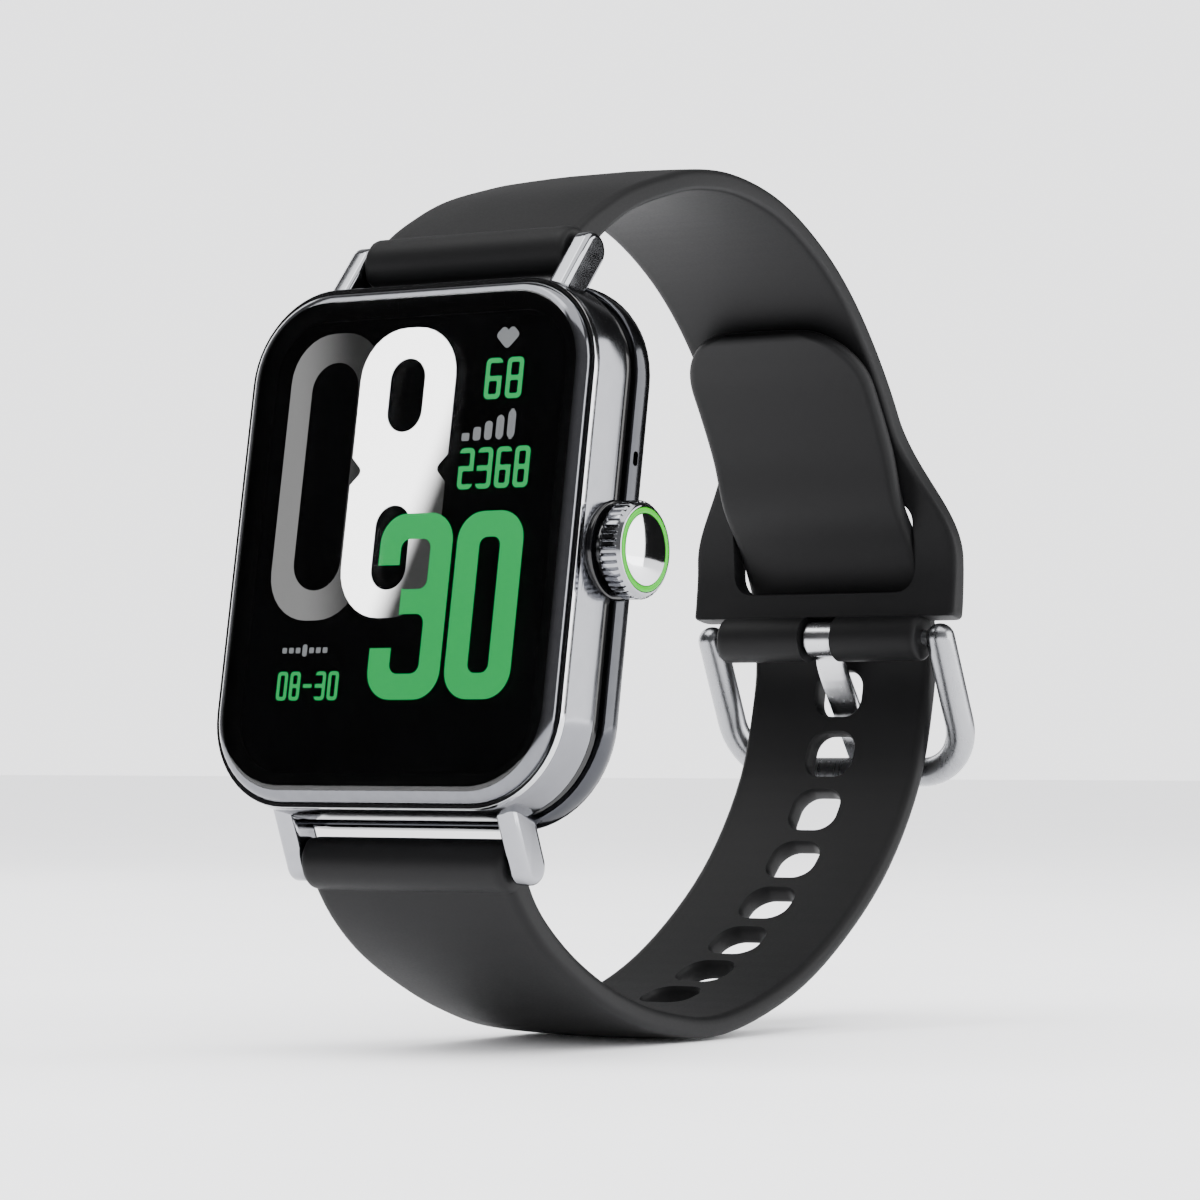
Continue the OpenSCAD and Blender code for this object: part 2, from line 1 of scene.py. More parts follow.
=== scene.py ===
# %% [markdown]
# # A rectangular smartwatch on a silicone strap
# The exact solids of the watch are already made and packed, with the bodies that move. This file loads them as a
# fixed frame and gives each visible piece its looks: the polished case, the curved glass, the knurled crown, the
# moulded strap and the wire buckle. Every size below is in millimetres and is turned to metres as a piece is placed.

# %% Load the frame
import math
import bpy
import bmesh
from mathutils import Matrix, Vector


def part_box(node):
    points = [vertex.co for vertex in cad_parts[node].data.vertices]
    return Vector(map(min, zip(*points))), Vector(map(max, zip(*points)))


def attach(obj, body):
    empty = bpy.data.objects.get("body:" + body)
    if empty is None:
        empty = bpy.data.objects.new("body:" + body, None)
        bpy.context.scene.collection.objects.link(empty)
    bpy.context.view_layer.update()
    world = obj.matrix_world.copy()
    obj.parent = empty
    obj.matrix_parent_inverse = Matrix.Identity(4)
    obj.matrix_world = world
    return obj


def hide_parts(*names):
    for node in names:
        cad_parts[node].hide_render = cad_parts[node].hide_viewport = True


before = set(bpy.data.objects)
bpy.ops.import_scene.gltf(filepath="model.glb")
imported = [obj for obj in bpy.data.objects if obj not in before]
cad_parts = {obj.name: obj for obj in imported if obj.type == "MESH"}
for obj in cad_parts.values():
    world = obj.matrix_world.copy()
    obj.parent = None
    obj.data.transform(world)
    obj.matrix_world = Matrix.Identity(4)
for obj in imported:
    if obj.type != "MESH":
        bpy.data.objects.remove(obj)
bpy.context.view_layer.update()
scene = bpy.context.scene

# %% [markdown]
# ## The case's own frame
# The pieces are easiest to draw from the middle of the bezel's front plane: x to the crown, y into the watch and
# z to 12 o'clock. One matrix takes that drawing, in millimetres, to the row's frame, in metres. The depth of the
# bezel and the height of the case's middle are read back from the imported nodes.

# %% From millimetres in the case to metres in the row
MM = 0.001
bezel_low, bezel_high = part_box("bezel_ring")
FRONT = bezel_low.y
MIDDLE = (bezel_low.z + bezel_high.z) / 2
CASE_W = (bezel_high.x - bezel_low.x) / MM
CASE_H = (bezel_high.z - bezel_low.z) / MM
TO_ROW = Matrix.Translation((0, FRONT, MIDDLE)) @ Matrix.Scale(MM, 4)
print(f"bezel {CASE_W:.1f} x {CASE_H:.1f} mm, front plane at y = {FRONT / MM:.1f} mm")


# %% [markdown]
# ## Materials
# Each finish starts from one Principled shader. A colour is written as an sRGB hex value, as a paint chip gives it,
# and one function turns it to linear light. One function adds a node with its settings and links.


# %% Colour and node helpers
def colour(hex_value, alpha=1.0):
    channels = [int(hex_value[i:i + 2], 16) / 255 for i in (0, 2, 4)]
    linear = [c / 12.92 if c <= 0.04045 else ((c + 0.055) / 1.055) ** 2.4 for c in channels]
    return (*linear, alpha)


def add(tree, kind, inputs=None, **settings):
    node = tree.nodes.new("ShaderNode" + kind)
    for name, value in settings.items():
        setattr(node, name, value)
    for name, value in (inputs or {}).items():
        if isinstance(value, bpy.types.NodeSocket):
            tree.links.new(value, node.inputs[name])
        else:
            node.inputs[name].default_value = value
    return node


def finish(name, base, roughness, **shader):
    """A Principled material; shader holds further sockets by name, with _ for a space."""
    material = bpy.data.materials.new(name)
    material.use_nodes = True
    principled = material.node_tree.nodes["Principled BSDF"]
    principled.inputs["Base Color"].default_value = colour(base)
    principled.inputs["Roughness"].default_value = roughness
    for key, value in shader.items():
        principled.inputs[key.replace("_", " ")].default_value = value
    return material


def vary(material, base, other, grain, rough, bump=0.0, stretch=(1, 1, 1), detail=3.0):
    """Colour between base and other, roughness between the two values of rough, and a bump, all from one noise.
    grain is the noise's size in mm, bump its height in mm."""
    tree = material.node_tree
    principled = tree.nodes["Principled BSDF"]
    where = add(tree, "TexCoord")
    mapping = add(tree, "Mapping", {"Vector": where.outputs["Object"], "Scale": stretch})
    noise = add(tree, "TexNoise", {"Vector": mapping.outputs["Vector"], "Scale": 1 / (grain * MM), "Detail": detail})
    mix = add(tree, "Mix", {"Factor": noise.outputs["Fac"]}, data_type="RGBA")
    mix.inputs[6].default_value = colour(base)
    mix.inputs[7].default_value = colour(other)
    spread = add(tree, "MapRange", {"Value": noise.outputs["Fac"], "To Min": rough[0], "To Max": rough[1]})
    tree.links.new(mix.outputs[2], principled.inputs["Base Color"])
    tree.links.new(spread.outputs["Result"], principled.inputs["Roughness"])
    if bump:
        height = add(tree, "Bump", {"Height": noise.outputs["Fac"], "Distance": bump * MM, "Strength": 0.6})
        tree.links.new(height.outputs["Normal"], principled.inputs["Normal"])
    return material


# %% [markdown]
# ### Metals
# The case is aluminium, polished and then plated a dark grey, so it mirrors the studio with a smoky tint. The bezel is
# bright chromed steel, the lugs and the crown are a smokier chrome, and the tongue's chrome is rubbed to a satin, as
# the buckle's steel wire is. A metal keeps the default IOR; only its colour, roughness and scratches change.

# %% Metal finishes
gunmetal = vary(finish("polished gunmetal aluminium", "747579", 0.14, Metallic=1.0),
                "717276", "7A7B7F", 1.5, (0.11, 0.18), 0.0004)
chrome = vary(finish("chromed steel", "C4C5C8", 0.1, Metallic=1.0), "C0C1C4", "C9CACC", 1.2, (0.07, 0.13), 0.0004)
dark_chrome = vary(finish("black chromed steel", "6C6D71", 0.12, Metallic=1.0),
                   "66676B", "737478", 0.8, (0.1, 0.16), 0.0003)
satin_chrome = vary(finish("satin chromed steel", "C4C5C8", 0.26, Metallic=1.0),
                    "C0C1C4", "C9CACC", 0.6, (0.22, 0.3), 0.0004)
lug_chrome = vary(finish("smoky chromed steel", "929397", 0.1, Metallic=1.0),
                  "8E8F93", "98999D", 1.2, (0.07, 0.13), 0.0003)
satin_steel = vary(finish("satin stainless steel", "949598", 0.28, Metallic=1.0),
                   "8F9093", "9B9C9F", 0.35, (0.22, 0.34), 0.0015, stretch=(1, 0.12, 0.12))
machined_steel = vary(finish("machined steel", "A9AAAD", 0.3, Metallic=1.0),
                      "A2A3A6", "B2B3B5", 0.3, (0.24, 0.38), 0.001)
gold_plate = vary(finish("gold plated brass", "D8B25A", 0.22, Metallic=1.0),
                  "D2AA50", "DEBB66", 0.4, (0.16, 0.28), 0.0006)
copper = vary(finish("machined copper tungsten", "9A7148", 0.35, Metallic=1.0),
              "8F6840", "A67C52", 0.4, (0.28, 0.42), 0.001)

# %% [markdown]
# ### Plastics and silicone
# The strap is liquid silicone moulded in a fine matt tool: near black, with a very fine tooth that spreads and dims
# the highlights. The groove and the seat of the crown are gloss black; on the seat that black is painted shade,
# standing in for the shadow in the recess round the crown. The rear housing is a dark metallised gloss plastic. The
# crown's ring is green lacquer and its dome is polished to a mirror.

# %% Plastic finishes
silicone = vary(finish("moulded black silicone", "0A0A0B", 0.55, Specular_IOR_Level=0.19),
                "09090A", "0D0D0E", 0.25, (0.5, 0.62), 0.004)
rear_gloss = vary(finish("metallised grey plastic", "38393D", 0.16, Metallic=1.0, Coat_Weight=0.2),
                  "35363A", "3E3F43", 1.5, (0.12, 0.2), 0.0004)
# This gloss black also colours the crown's seat, where it is painted shade for the recess round the crown.
black_gloss = vary(finish("gloss black plastic", "060607", 0.12, IOR=1.5), "050506", "08080A", 2.0, (0.08, 0.16))
back_satin = vary(finish("satin black polycarbonate", "101113", 0.3, IOR=1.58),
                  "0E0F11", "141517", 0.3, (0.26, 0.36), 0.002)
moulded_grey = vary(finish("glass filled nylon", "1D1E20", 0.5), "1A1B1D", "242528", 0.4, (0.42, 0.6), 0.004)
solder_mask = vary(finish("green solder mask", "0E4A2C", 0.3, IOR=1.55), "0B4226", "125233", 0.6, (0.25, 0.38), 0.002)
seal_rubber = vary(finish("nitrile rubber", "121213", 0.6), "101011", "161617", 0.3, (0.5, 0.68), 0.003)
film = vary(finish("polyimide film", "B9782A", 0.3, IOR=1.65), "B07024", "C28133", 0.8, (0.25, 0.36), 0.001)
pouch = vary(finish("laminated aluminium pouch", "8A8D92", 0.35, Metallic=1.0),
             "83868B", "92959A", 1.2, (0.3, 0.42), 0.004)
crown_green = vary(finish("gloss green lacquer", "1E8F08", 0.35, Specular_IOR_Level=0.2),
                   "1A8806", "24980C", 0.5, (0.2, 0.3))
crown_mirror = vary(finish("mirror polished steel", "D2D3D5", 0.05, Metallic=1.0),
                    "CFD0D2", "D6D7D8", 1.0, (0.03, 0.07))

# %% [markdown]
# ### Glass
# The cover is clear glass with an anti-reflective coating, so its flat middle lets the display through with half of
# plain glass's glare. The sensor's window is uncoated glass with a dark tint.

# %% Glass finishes
cover_glass = finish("polished cover glass", "FFFFFF", 0.03, IOR=1.52, Transmission_Weight=1.0,
                     Specular_IOR_Level=0.25)
tinted_glass = finish("tinted sensor glass", "3A3C42", 0.05, IOR=1.52, Transmission_Weight=1.0)
for glass, grain in ((cover_glass, 6.0), (tinted_glass, 3.0)):
    tree = glass.node_tree
    where = add(tree, "TexCoord")
    smear = add(tree, "TexNoise", {"Vector": where.outputs["Object"], "Scale": 1 / (grain * MM), "Detail": 2.0})
    wiped = add(tree, "MapRange", {"Value": smear.outputs["Fac"], "To Min": 0.015, "To Max": 0.05})
    tree.links.new(wiped.outputs["Result"], tree.nodes["Principled BSDF"].inputs["Roughness"])
print("materials:", len(bpy.data.materials))

# %% [markdown]
# ## Tools for the metalwork
# A finished bmesh becomes an object in one place: its faces are turned outwards, it is taken from millimetres to
# metres, it is shaded smooth except over real corners, and it is tied to the body that carries it.


# %% Finish a piece
def make_piece(bm, name, body, material, nodes=(), corner=40, matrix=TO_ROW):
    bmesh.ops.remove_doubles(bm, verts=bm.verts, dist=0.0005)
    bmesh.ops.recalc_face_normals(bm, faces=bm.faces)
    bmesh.ops.transform(bm, matrix=matrix, verts=bm.verts)
    mesh = bpy.data.meshes.new(name)
    bm.to_mesh(mesh)
    bm.free()
    mesh.shade_smooth()
    mesh.set_sharp_from_angle(angle=math.radians(corner))
    piece = bpy.data.objects.new(name, mesh)
    scene.collection.objects.link(piece)
    mesh.materials.append(material)
    weighted = piece.modifiers.new("even shading", "WEIGHTED_NORMAL")
    weighted.keep_sharp = True
    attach(piece, body)
    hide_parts(*nodes)
    print(f"{name}: {len(mesh.polygons)} faces")
    return piece


def plain_object(bm, name):
    """A helper object that is used up before the end."""
    mesh = bpy.data.meshes.new(name)
    bm.to_mesh(mesh)
    bm.free()
    helper = bpy.data.objects.new(name, mesh)
    scene.collection.objects.link(helper)
    return helper


def carve(bm, cutter):
    """Takes the cutter's mesh out of bm with a Boolean modifier, and gives the result as a new bmesh."""
    stock = plain_object(bm, "stock")
    tool = plain_object(cutter, "tool")
    cut = stock.modifiers.new("cut", "BOOLEAN")
    cut.operation, cut.solver, cut.object = "DIFFERENCE", "EXACT", tool
    result = bmesh.new()
    result.from_object(stock, bpy.context.evaluated_depsgraph_get())
    for helper in (stock, tool):
        mesh = helper.data
        bpy.data.objects.remove(helper)
        bpy.data.meshes.remove(mesh)
    return result


# %% [markdown]
# ### Rings with round corners
# Bezel, side band, groove and rear housing are all rings with the same round-cornered outline, so one tool makes
# them. A rectangle of four vertices has its corners bevelled into arcs, which gives a loop of edges. Loops of
# different sizes at different depths are bridged into a wall, as a lofted surface is.

# %% Lofts of round-cornered loops
CORNER_STEPS = 14
CORNER_R = 8.5


def rounded_loop(bm, width, height, radius, depth, steps=CORNER_STEPS, keep_face=False):
    """A loop with round corners, and its face where that closes an end."""
    corners = [bm.verts.new((sx * width / 2, depth, sz * height / 2))
               for sx, sz in ((-1, -1), (1, -1), (1, 1), (-1, 1))]
    face = bm.faces.new(corners)
    made = bmesh.ops.bevel(bm, geom=corners, offset=radius, offset_type="OFFSET", affect="VERTICES",
                           segments=steps, profile=0.5, material=-1)
    face = next(f for f in {f for v in made["verts"] for f in v.link_faces} if len(f.verts) > 4)
    edges = list(face.edges)
    if not keep_face:
        bmesh.ops.delete(bm, geom=[face], context="FACES_ONLY")
    return edges


def outline(out, depth):
    """Width, height, radius and depth of the bezel's outline grown by out."""
    return CASE_W + 2 * out, CASE_H + 2 * out, CORNER_R + out, depth


def loft(bm, sizes, closed=False, caps=False, steps=CORNER_STEPS):
    """Round-cornered loops of the given sizes, each joined to the next."""
    last = len(sizes) - 1
    loops = [rounded_loop(bm, *size, steps=steps, keep_face=caps and i in (0, last)) for i, size in enumerate(sizes)]
    pairs = list(zip(loops, loops[1:]))
    if closed:
        pairs.append((loops[-1], loops[0]))
    for one, other in pairs:
        bmesh.ops.bridge_loops(bm, edges=one + other)
    return loops


def soften(bm, edges, radius, segments=3):
    """Round the given edges."""
    bmesh.ops.bevel(bm, geom=edges, offset=radius, offset_type="OFFSET", affect="EDGES", segments=segments,
                    profile=0.5, material=-1)


# %% [markdown]
# ## Cover glass
# The glass rises from the bezel in a quarter of an ellipse, in nine steps, and a weighted normal keeps the middle
# truly flat, so it reflects like a pane. The outer part of the bend is metallised dark chrome, which gathers the
# studio's light into a soft bright edge.

# %% Cover glass
GLASS_RISE = 1.1
GLASS_CURVE = 2.3
GLASS_EDGE = 0.48
METAL_W = 1.35
glass = bmesh.new()
rim = [outline(-0.5, 0.38), outline(-0.46, 0.3), outline(-0.46, 0.1)]
for step in range(10):
    angle = math.radians(step * 10)
    out = (GLASS_CURVE - GLASS_EDGE) * math.cos(angle) - GLASS_CURVE
    rim.append(outline(out, -GLASS_RISE * math.sin(angle)))
loft(glass, rim, caps=True)
pane = make_piece(glass, "cover_glass_pane", "case", cover_glass, ["cover_glass"], corner=60)
pane.data.materials.append(dark_chrome)
corner_x, corner_z = CASE_W / 2 - CORNER_R, CASE_H / 2 - CORNER_R
for face in pane.data.polygons:
    past_x = max(abs(face.center.x) / MM - corner_x, 0)
    past_z = max(abs(face.center.z - MIDDLE) / MM - corner_z, 0)
    face.material_index = int(math.hypot(past_x, past_z) > CORNER_R - METAL_W)

# %% [markdown]
# ## Bezel, side band, groove and rear housing
# The bezel is a thin bright line round the glass. Behind it the side band swells gently to a ridge, a gloss black
# groove parts it from the rear housing, and the housing rolls round to the back. A round recess in the side makes
# room for the crown, so the three rings are carved with the same round cutter.

# %% Case rings
WALL_IN = 1.6
bezel = bmesh.new()
loft(bezel, [outline(-0.4, 0.02), outline(-0.04, 0.0), outline(0.0, 0.06), outline(0.0, 0.66),
             outline(-0.06, 0.7), outline(-0.4, 0.7)], closed=True)
make_piece(bezel, "bezel_line", "case", chrome, ["bezel_ring"])

CROWN_Y = 5.4
CROWN_R = 4.3
SEAT_X = CASE_W / 2 + 0.1


def crown_recess():
    """A disc that clears the crown and its seat."""
    cutter = bmesh.new()
    bmesh.ops.create_cone(cutter, cap_ends=True, segments=96, radius1=CROWN_R + 0.12, radius2=CROWN_R + 0.12, depth=6)
    turn = Matrix.Translation((SEAT_X + 3, CROWN_Y, 0)) @ Matrix.Rotation(math.radians(90), 4, "Y")
    bmesh.ops.transform(cutter, matrix=turn, verts=cutter.verts)
    return cutter


def case_ring(name, sizes, material, node, more_cutters=()):
    """A ring of the case, lofted from its loops and cut clear of the crown."""
    ring = bmesh.new()
    loft(ring, sizes, closed=True)
    bmesh.ops.recalc_face_normals(ring, faces=ring.faces)
    for cutter in (crown_recess(), *more_cutters):
        ring = carve(ring, cutter)
    return make_piece(ring, name, "case", material, [node])


case_ring("side_band", [
    outline(-WALL_IN, 0.75), outline(-0.12, 0.72), outline(-0.02, 0.76), outline(0.05, 0.95), outline(0.14, 1.3),
    outline(0.22, 1.8), outline(0.29, 2.4), outline(0.345, 3.1), outline(0.38, 3.7), outline(0.4, 4.15),
    outline(0.385, 4.34), outline(0.33, 4.46), outline(0.22, 4.5), outline(-WALL_IN, 4.5)],
    gunmetal, "mid_frame")
case_ring("groove_ring", [
    outline(-WALL_IN, 4.5), outline(0.05, 4.5), outline(-0.12, 4.75), outline(-0.18, 5.0), outline(-0.12, 5.25),
    outline(0.05, 5.5), outline(-WALL_IN, 5.5)],
    black_gloss, "groove_band")


def slot_cutter(width, height, radius, depth, at):
    """A rounded slot that runs along x."""
    cutter = bmesh.new()
    loft(cutter, [(width, height, radius, -depth / 2), (width, height, radius, depth / 2)], caps=True, steps=6)
    bmesh.ops.recalc_face_normals(cutter, faces=cutter.faces)
    turn = Matrix.Translation(at) @ Matrix.Rotation(math.radians(-90), 4, "Z")
    bmesh.ops.transform(cutter, matrix=turn, verts=cutter.verts)
    return cutter


case_ring("rear_shell", [
    outline(-WALL_IN, 5.5), outline(0.5, 5.5), outline(0.62, 5.54), outline(0.72, 5.66), outline(0.82, 6.0),
    outline(0.88, 6.4), outline(0.9, 6.8), outline(0.87, 7.15), outline(0.76, 7.5), outline(0.58, 7.78),
    outline(0.32, 8.05), outline(-0.05, 8.3), outline(-0.5, 8.52), outline(-0.95, 8.68), outline(-1.5, 8.78),
    (33.3, 42.3, 6.75, 8.8), (33.3, 42.3, 6.75, 7.7)],
    rear_gloss, "rear_housing",
    [slot_cutter(0.6, 1.3, 0.28, 3.0, (CASE_W / 2 + 0.9, 6.25, 8.3))])

# %% [markdown]
# ## Lugs
# A lug is a flat bar with a round tip that leans back towards the strap. Its side view is drawn as a rectangle whose
# two outer corners are bevelled round, pulled out to its thickness, and its edges are broken by a small bevel that
# catches the light.

# %% Four lugs
LUG_GAP = 22.1
LUG_T = 2.1
LUG_R = 1.65
LUG_FOOT = Vector((0, 4.3, 23.9))
LUG_TIP = Vector((0, 6.5, 27.5))


def lug(bm, side_x, side_z):
    """One lug: its side view with a round tip, made thick, rounded and put at its corner."""
    start = set(bm.verts)
    length = (LUG_TIP - LUG_FOOT).length
    corners = [bm.verts.new((0, y, z)) for y, z in ((-LUG_R, -2.4), (LUG_R, -0.6), (LUG_R, length + LUG_R),
                                                    (-LUG_R, length + LUG_R))]
    bm.faces.new(corners)
    bmesh.ops.bevel(bm, geom=corners[2:], offset=LUG_R * 0.98, affect="VERTICES", segments=10, profile=0.5,
                    material=-1)
    flat = next(f for f in bm.faces if not set(f.verts) & start)
    grown = bmesh.ops.extrude_face_region(bm, geom=[flat])
    moved = [v for v in grown["geom"] if isinstance(v, bmesh.types.BMVert)]
    bmesh.ops.translate(bm, verts=moved, vec=(LUG_T, 0, 0))
    new = [v for v in bm.verts if v not in start]
    rims = [e for e in {e for v in new for e in v.link_edges} if abs(e.verts[0].co.x - e.verts[1].co.x) < 1e-6]
    soften(bm, rims, 0.62, 5)
    new = [v for v in bm.verts if v not in start]
    lean = math.atan2((LUG_TIP - LUG_FOOT).y, (LUG_TIP - LUG_FOOT).z)
    place = Matrix.Translation(LUG_FOOT) @ Matrix.Rotation(-lean, 4, "X") @ Matrix.Translation((-LUG_T / 2, 0, 0))
    place = Matrix.Diagonal((1, 1, side_z, 1)) @ Matrix.Translation((side_x * (LUG_GAP + LUG_T) / 2, 0, 0)) @ place
    bmesh.ops.transform(bm, matrix=place, verts=new)


for side_z, name, node in ((1, "lugs_top", "lugs_upper"), (-1, "lugs_bottom", "lugs_lower")):
    lugs = bmesh.new()
    for side_x in (-1, 1):
        lug(lugs, side_x, side_z)
    make_piece(lugs, name, "case", lug_chrome, [node], corner=50)

# %% [markdown]
# ## Crown
# The crown is turned metal: a profile spun round the stem's axis. The knurl is cut all round it, so the spun wall
# has eight steps to a tooth and the vertices of each groove are drawn in towards the axis. A green lacquered ring
# and a mirror-polished dome close its face, over a gloss black seat whose black is painted shade: it stands in for
# the shadow in the recess round the crown.

# %% Spin a profile round the crown's axis
TEETH = 42
CROWN_FACE = 22.05
CROWN_LEN = 2.1


def spun(profile, steps, closed=False):
    """Spins a profile of (x, radius) points round the crown's axis."""
    bm = bmesh.new()
    points = [bm.verts.new((x, CROWN_Y + r, 0)) for x, r in profile]
    edges = [bm.edges.new(pair) for pair in zip(points, points[1:])]
    if closed:
        edges.append(bm.edges.new((points[-1], points[0])))
    bmesh.ops.spin(bm, geom=points + edges, cent=(0, CROWN_Y, 0), axis=(1, 0, 0), dvec=(0, 0, 0),
                   angle=math.tau, steps=steps, use_merge=True)
    bmesh.ops.remove_doubles(bm, verts=bm.verts, dist=0.0005)
    return bm


# %% Crown pieces
back = CROWN_FACE - CROWN_LEN
knob = spun([(back, 0), (back, 3.2), (back, 3.9), (back + 0.04, 4.08), (back + 0.14, 4.2), (back + 0.3, 4.28),
             (back + 0.5, 4.3), (back + 1.0, 4.3), (CROWN_FACE - 0.62, 4.3), (CROWN_FACE - 0.5, 4.27),
             (CROWN_FACE - 0.4, 4.2), (CROWN_FACE - 0.3, 4.1), (CROWN_FACE - 0.22, 4.04), (CROWN_FACE - 0.06, 3.9),
             (CROWN_FACE, 3.82), (CROWN_FACE, 3.7), (CROWN_FACE - 0.05, 3.67), (CROWN_FACE - 0.5, 3.67),
             (CROWN_FACE - 0.5, 0)], TEETH * 8)
for vert in knob.verts:
    radius = math.hypot(vert.co.y - CROWN_Y, vert.co.z)
    if radius > 4.02 and vert.co.x < CROWN_FACE - 0.3:
        phase = math.atan2(vert.co.z, vert.co.y - CROWN_Y) * TEETH
        groove = max(0.0, math.cos(phase)) ** 0.7
        scale = (radius - 0.24 * groove) / radius
        vert.co.y = CROWN_Y + (vert.co.y - CROWN_Y) * scale
        vert.co.z *= scale
make_piece(knob, "crown_wheel", "crown", lug_chrome, ["crown_knob"], corner=50)

ring = spun([(CROWN_FACE - 0.45, 3.17), (CROWN_FACE - 0.45, 3.65), (CROWN_FACE + 0.0, 3.65), (CROWN_FACE + 0.04, 3.6),
             (CROWN_FACE + 0.055, 3.5), (CROWN_FACE + 0.055, 3.32), (CROWN_FACE + 0.04, 3.22),
             (CROWN_FACE + 0.0, 3.17)], 128, closed=True)
make_piece(ring, "crown_green_ring", "crown", crown_green, ["crown_ring"])

dome = [(22.4 - 16 * (1 - math.cos(math.asin(r / 16))), r) for r in (3.0, 2.6, 2.2, 1.7, 1.2, 0.6, 0.0)]
cap = spun([(21.5, 0), (21.5, 3.13), (CROWN_FACE - 0.02, 3.13), (CROWN_FACE + 0.04, 3.1)] + dome, 128)
make_piece(cap, "crown_dome", "crown", crown_mirror, ["crown_cap"])

# The seat is a real ring, but its gloss black is painted shade: it stands in for the shadow in the recess round the
# crown.
seat = spun([(SEAT_X, 1.82), (SEAT_X, 4.36), (SEAT_X + 0.38, 4.36), (SEAT_X + 0.47, 4.3), (SEAT_X + 0.5, 4.2),
             (SEAT_X + 0.5, 3.2), (SEAT_X + 0.42, 3.1), (SEAT_X + 0.42, 1.82)], 128, closed=True)
make_piece(seat, "crown_seat_painted_shade_ring", "case", black_gloss, ["crown_seat"])

# %% [markdown]
# ## Strap
# A silicone strap is moulded nearly flat and bends as it is worn, and it is made the same way here. A cylinder with
# 36 sides is drawn out into a long flat blank, ring by ring, with its own width and thickness at each ring. The
# holes and the slot are cut while it is flat, and then every vertex is carried onto the closed loop's side view.

# %% The loop's side view
STRAP_T = 2.3
HUB_R = 2.35
BAR = (6.5, 27.5)
BUCKLE = (71.8, 5.1)
UPPER_KNOTS = [(*BAR, 2.9), (9.9, 31.2, 2.6), (14.4, 34.6, 2.4), (20.2, 37.5, STRAP_T), (26, 39.8, STRAP_T),
               (33, 41.2, STRAP_T), (41, 40.9, STRAP_T), (48.8, 38.6, STRAP_T), (55.4, 35, STRAP_T),
               (61.4, 30, STRAP_T), (66.4, 24.2, STRAP_T), (69.6, 18.4, 2.1), (71.3, 13, 2.1),
               (71.8, 8.8, STRAP_T), (71.8, 7.1, STRAP_T)]
LOWER_KNOTS = [(BAR[0], -BAR[1], 2.9), (9.7, -31, 2.6), (13.6, -33.5, 2.5), (19, -35.6, STRAP_T),
               (26, -37.3, STRAP_T), (34, -38, STRAP_T), (43.7, -37, 2.2), (54.9, -32.1, 2.1), (63.5, -25.7, 2),
               (70.5, -17.9, 2), (75.1, -8.8, 2), (76.4, 0.1, 2), (75.95, 4.9, 2), (74.5, 9.8, 1.9),
               (71.2, 14.3, 1.8), (67.35, 17.95, 1.8), (64.4, 22.75, 1.8), (59.8, 28.2, 1.7), (56.8, 30.9, 1.6),
               (54.5, 32.6, 1.5)]
STEPS_PER_KNOT = 5


def smooth_line(knots):
    """The same smooth curve through the knots that the solid strap has."""
    knots = [Vector(k) for k in knots]
    line = []
    for i in range(len(knots) - 1):
        a, b, c, d = (knots[min(max(i + j, 0), len(knots) - 1)] for j in (-1, 0, 1, 2))
        for j in range(STEPS_PER_KNOT):
            t = j / STEPS_PER_KNOT
            line.append(0.5 * (2 * b + (c - a) * t + (2 * a - 5 * b + 4 * c - d) * t ** 2
                               + (3 * b - a - 3 * c + d) * t ** 3))
    return line + [knots[-1]]


class Path:
    """A smooth side view with running lengths; it runs on straight past both ends."""

    def __init__(self, knots):
        self.points = smooth_line(knots)
        self.lengths = [0.0]
        for p, q in zip(self.points, self.points[1:]):
            self.lengths.append(self.lengths[-1] + (q - p).xy.length)
        count = len(self.points)
        self.turns = []
        for i in range(count):
            step = (self.points[min(i + 1, count - 1)] - self.points[max(i - 1, 0)]).xy
            self.turns.append(math.atan2(step.y, step.x))
        for i in range(1, count):
            while self.turns[i] - self.turns[i - 1] > math.pi:
                self.turns[i] -= math.tau
            while self.turns[i] - self.turns[i - 1] < -math.pi:
                self.turns[i] += math.tau
        self.length = self.lengths[-1]

    def at(self, s):
        """Depth, height, thickness and heading at running length s."""
        inside = min(max(s, 0.0), self.length)
        i = max(k for k in range(len(self.lengths) - 1) if self.lengths[k] <= inside)
        t = (inside - self.lengths[i]) / (self.lengths[i + 1] - self.lengths[i])
        point = self.points[i].lerp(self.points[i + 1], t)
        turn = self.turns[i] * (1 - t) + self.turns[i + 1] * t
        past = s - inside
        return point.x + past * math.cos(turn), point.y + past * math.sin(turn), point.z, turn

    def knot(self, index):
        return self.lengths[index * STEPS_PER_KNOT]


upper_path, lower_path = Path(UPPER_KNOTS), Path(LOWER_KNOTS)
print(f"upper half {upper_path.length:.1f} mm, lower half {lower_path.length:.1f} mm to the tip")

# %% [markdown]
# ### The flat blank
# The outer face is crowned, its long edges are rolled over, and the inner face has a softer bevel towards the wrist.
# Nine points from an edge inwards, close together at the edge, draw that roll, the same on both faces and sides.

# %% Make a blank and bend it
FROM_EDGE = (0.0, 0.1, 0.3, 0.6, 1.0, 1.6, 2.8, 4.8, 7.2)
RING = 4 * len(FROM_EDGE)
SAME_PLACE = 0.004
THINNEST = 0.02


def rolled(distance, radius):
    """How far a rolled edge lies below the face, at a distance from the edge."""
    if distance >= radius:
        return 0.0
    return radius - math.sqrt(radius ** 2 - (radius - distance) ** 2)


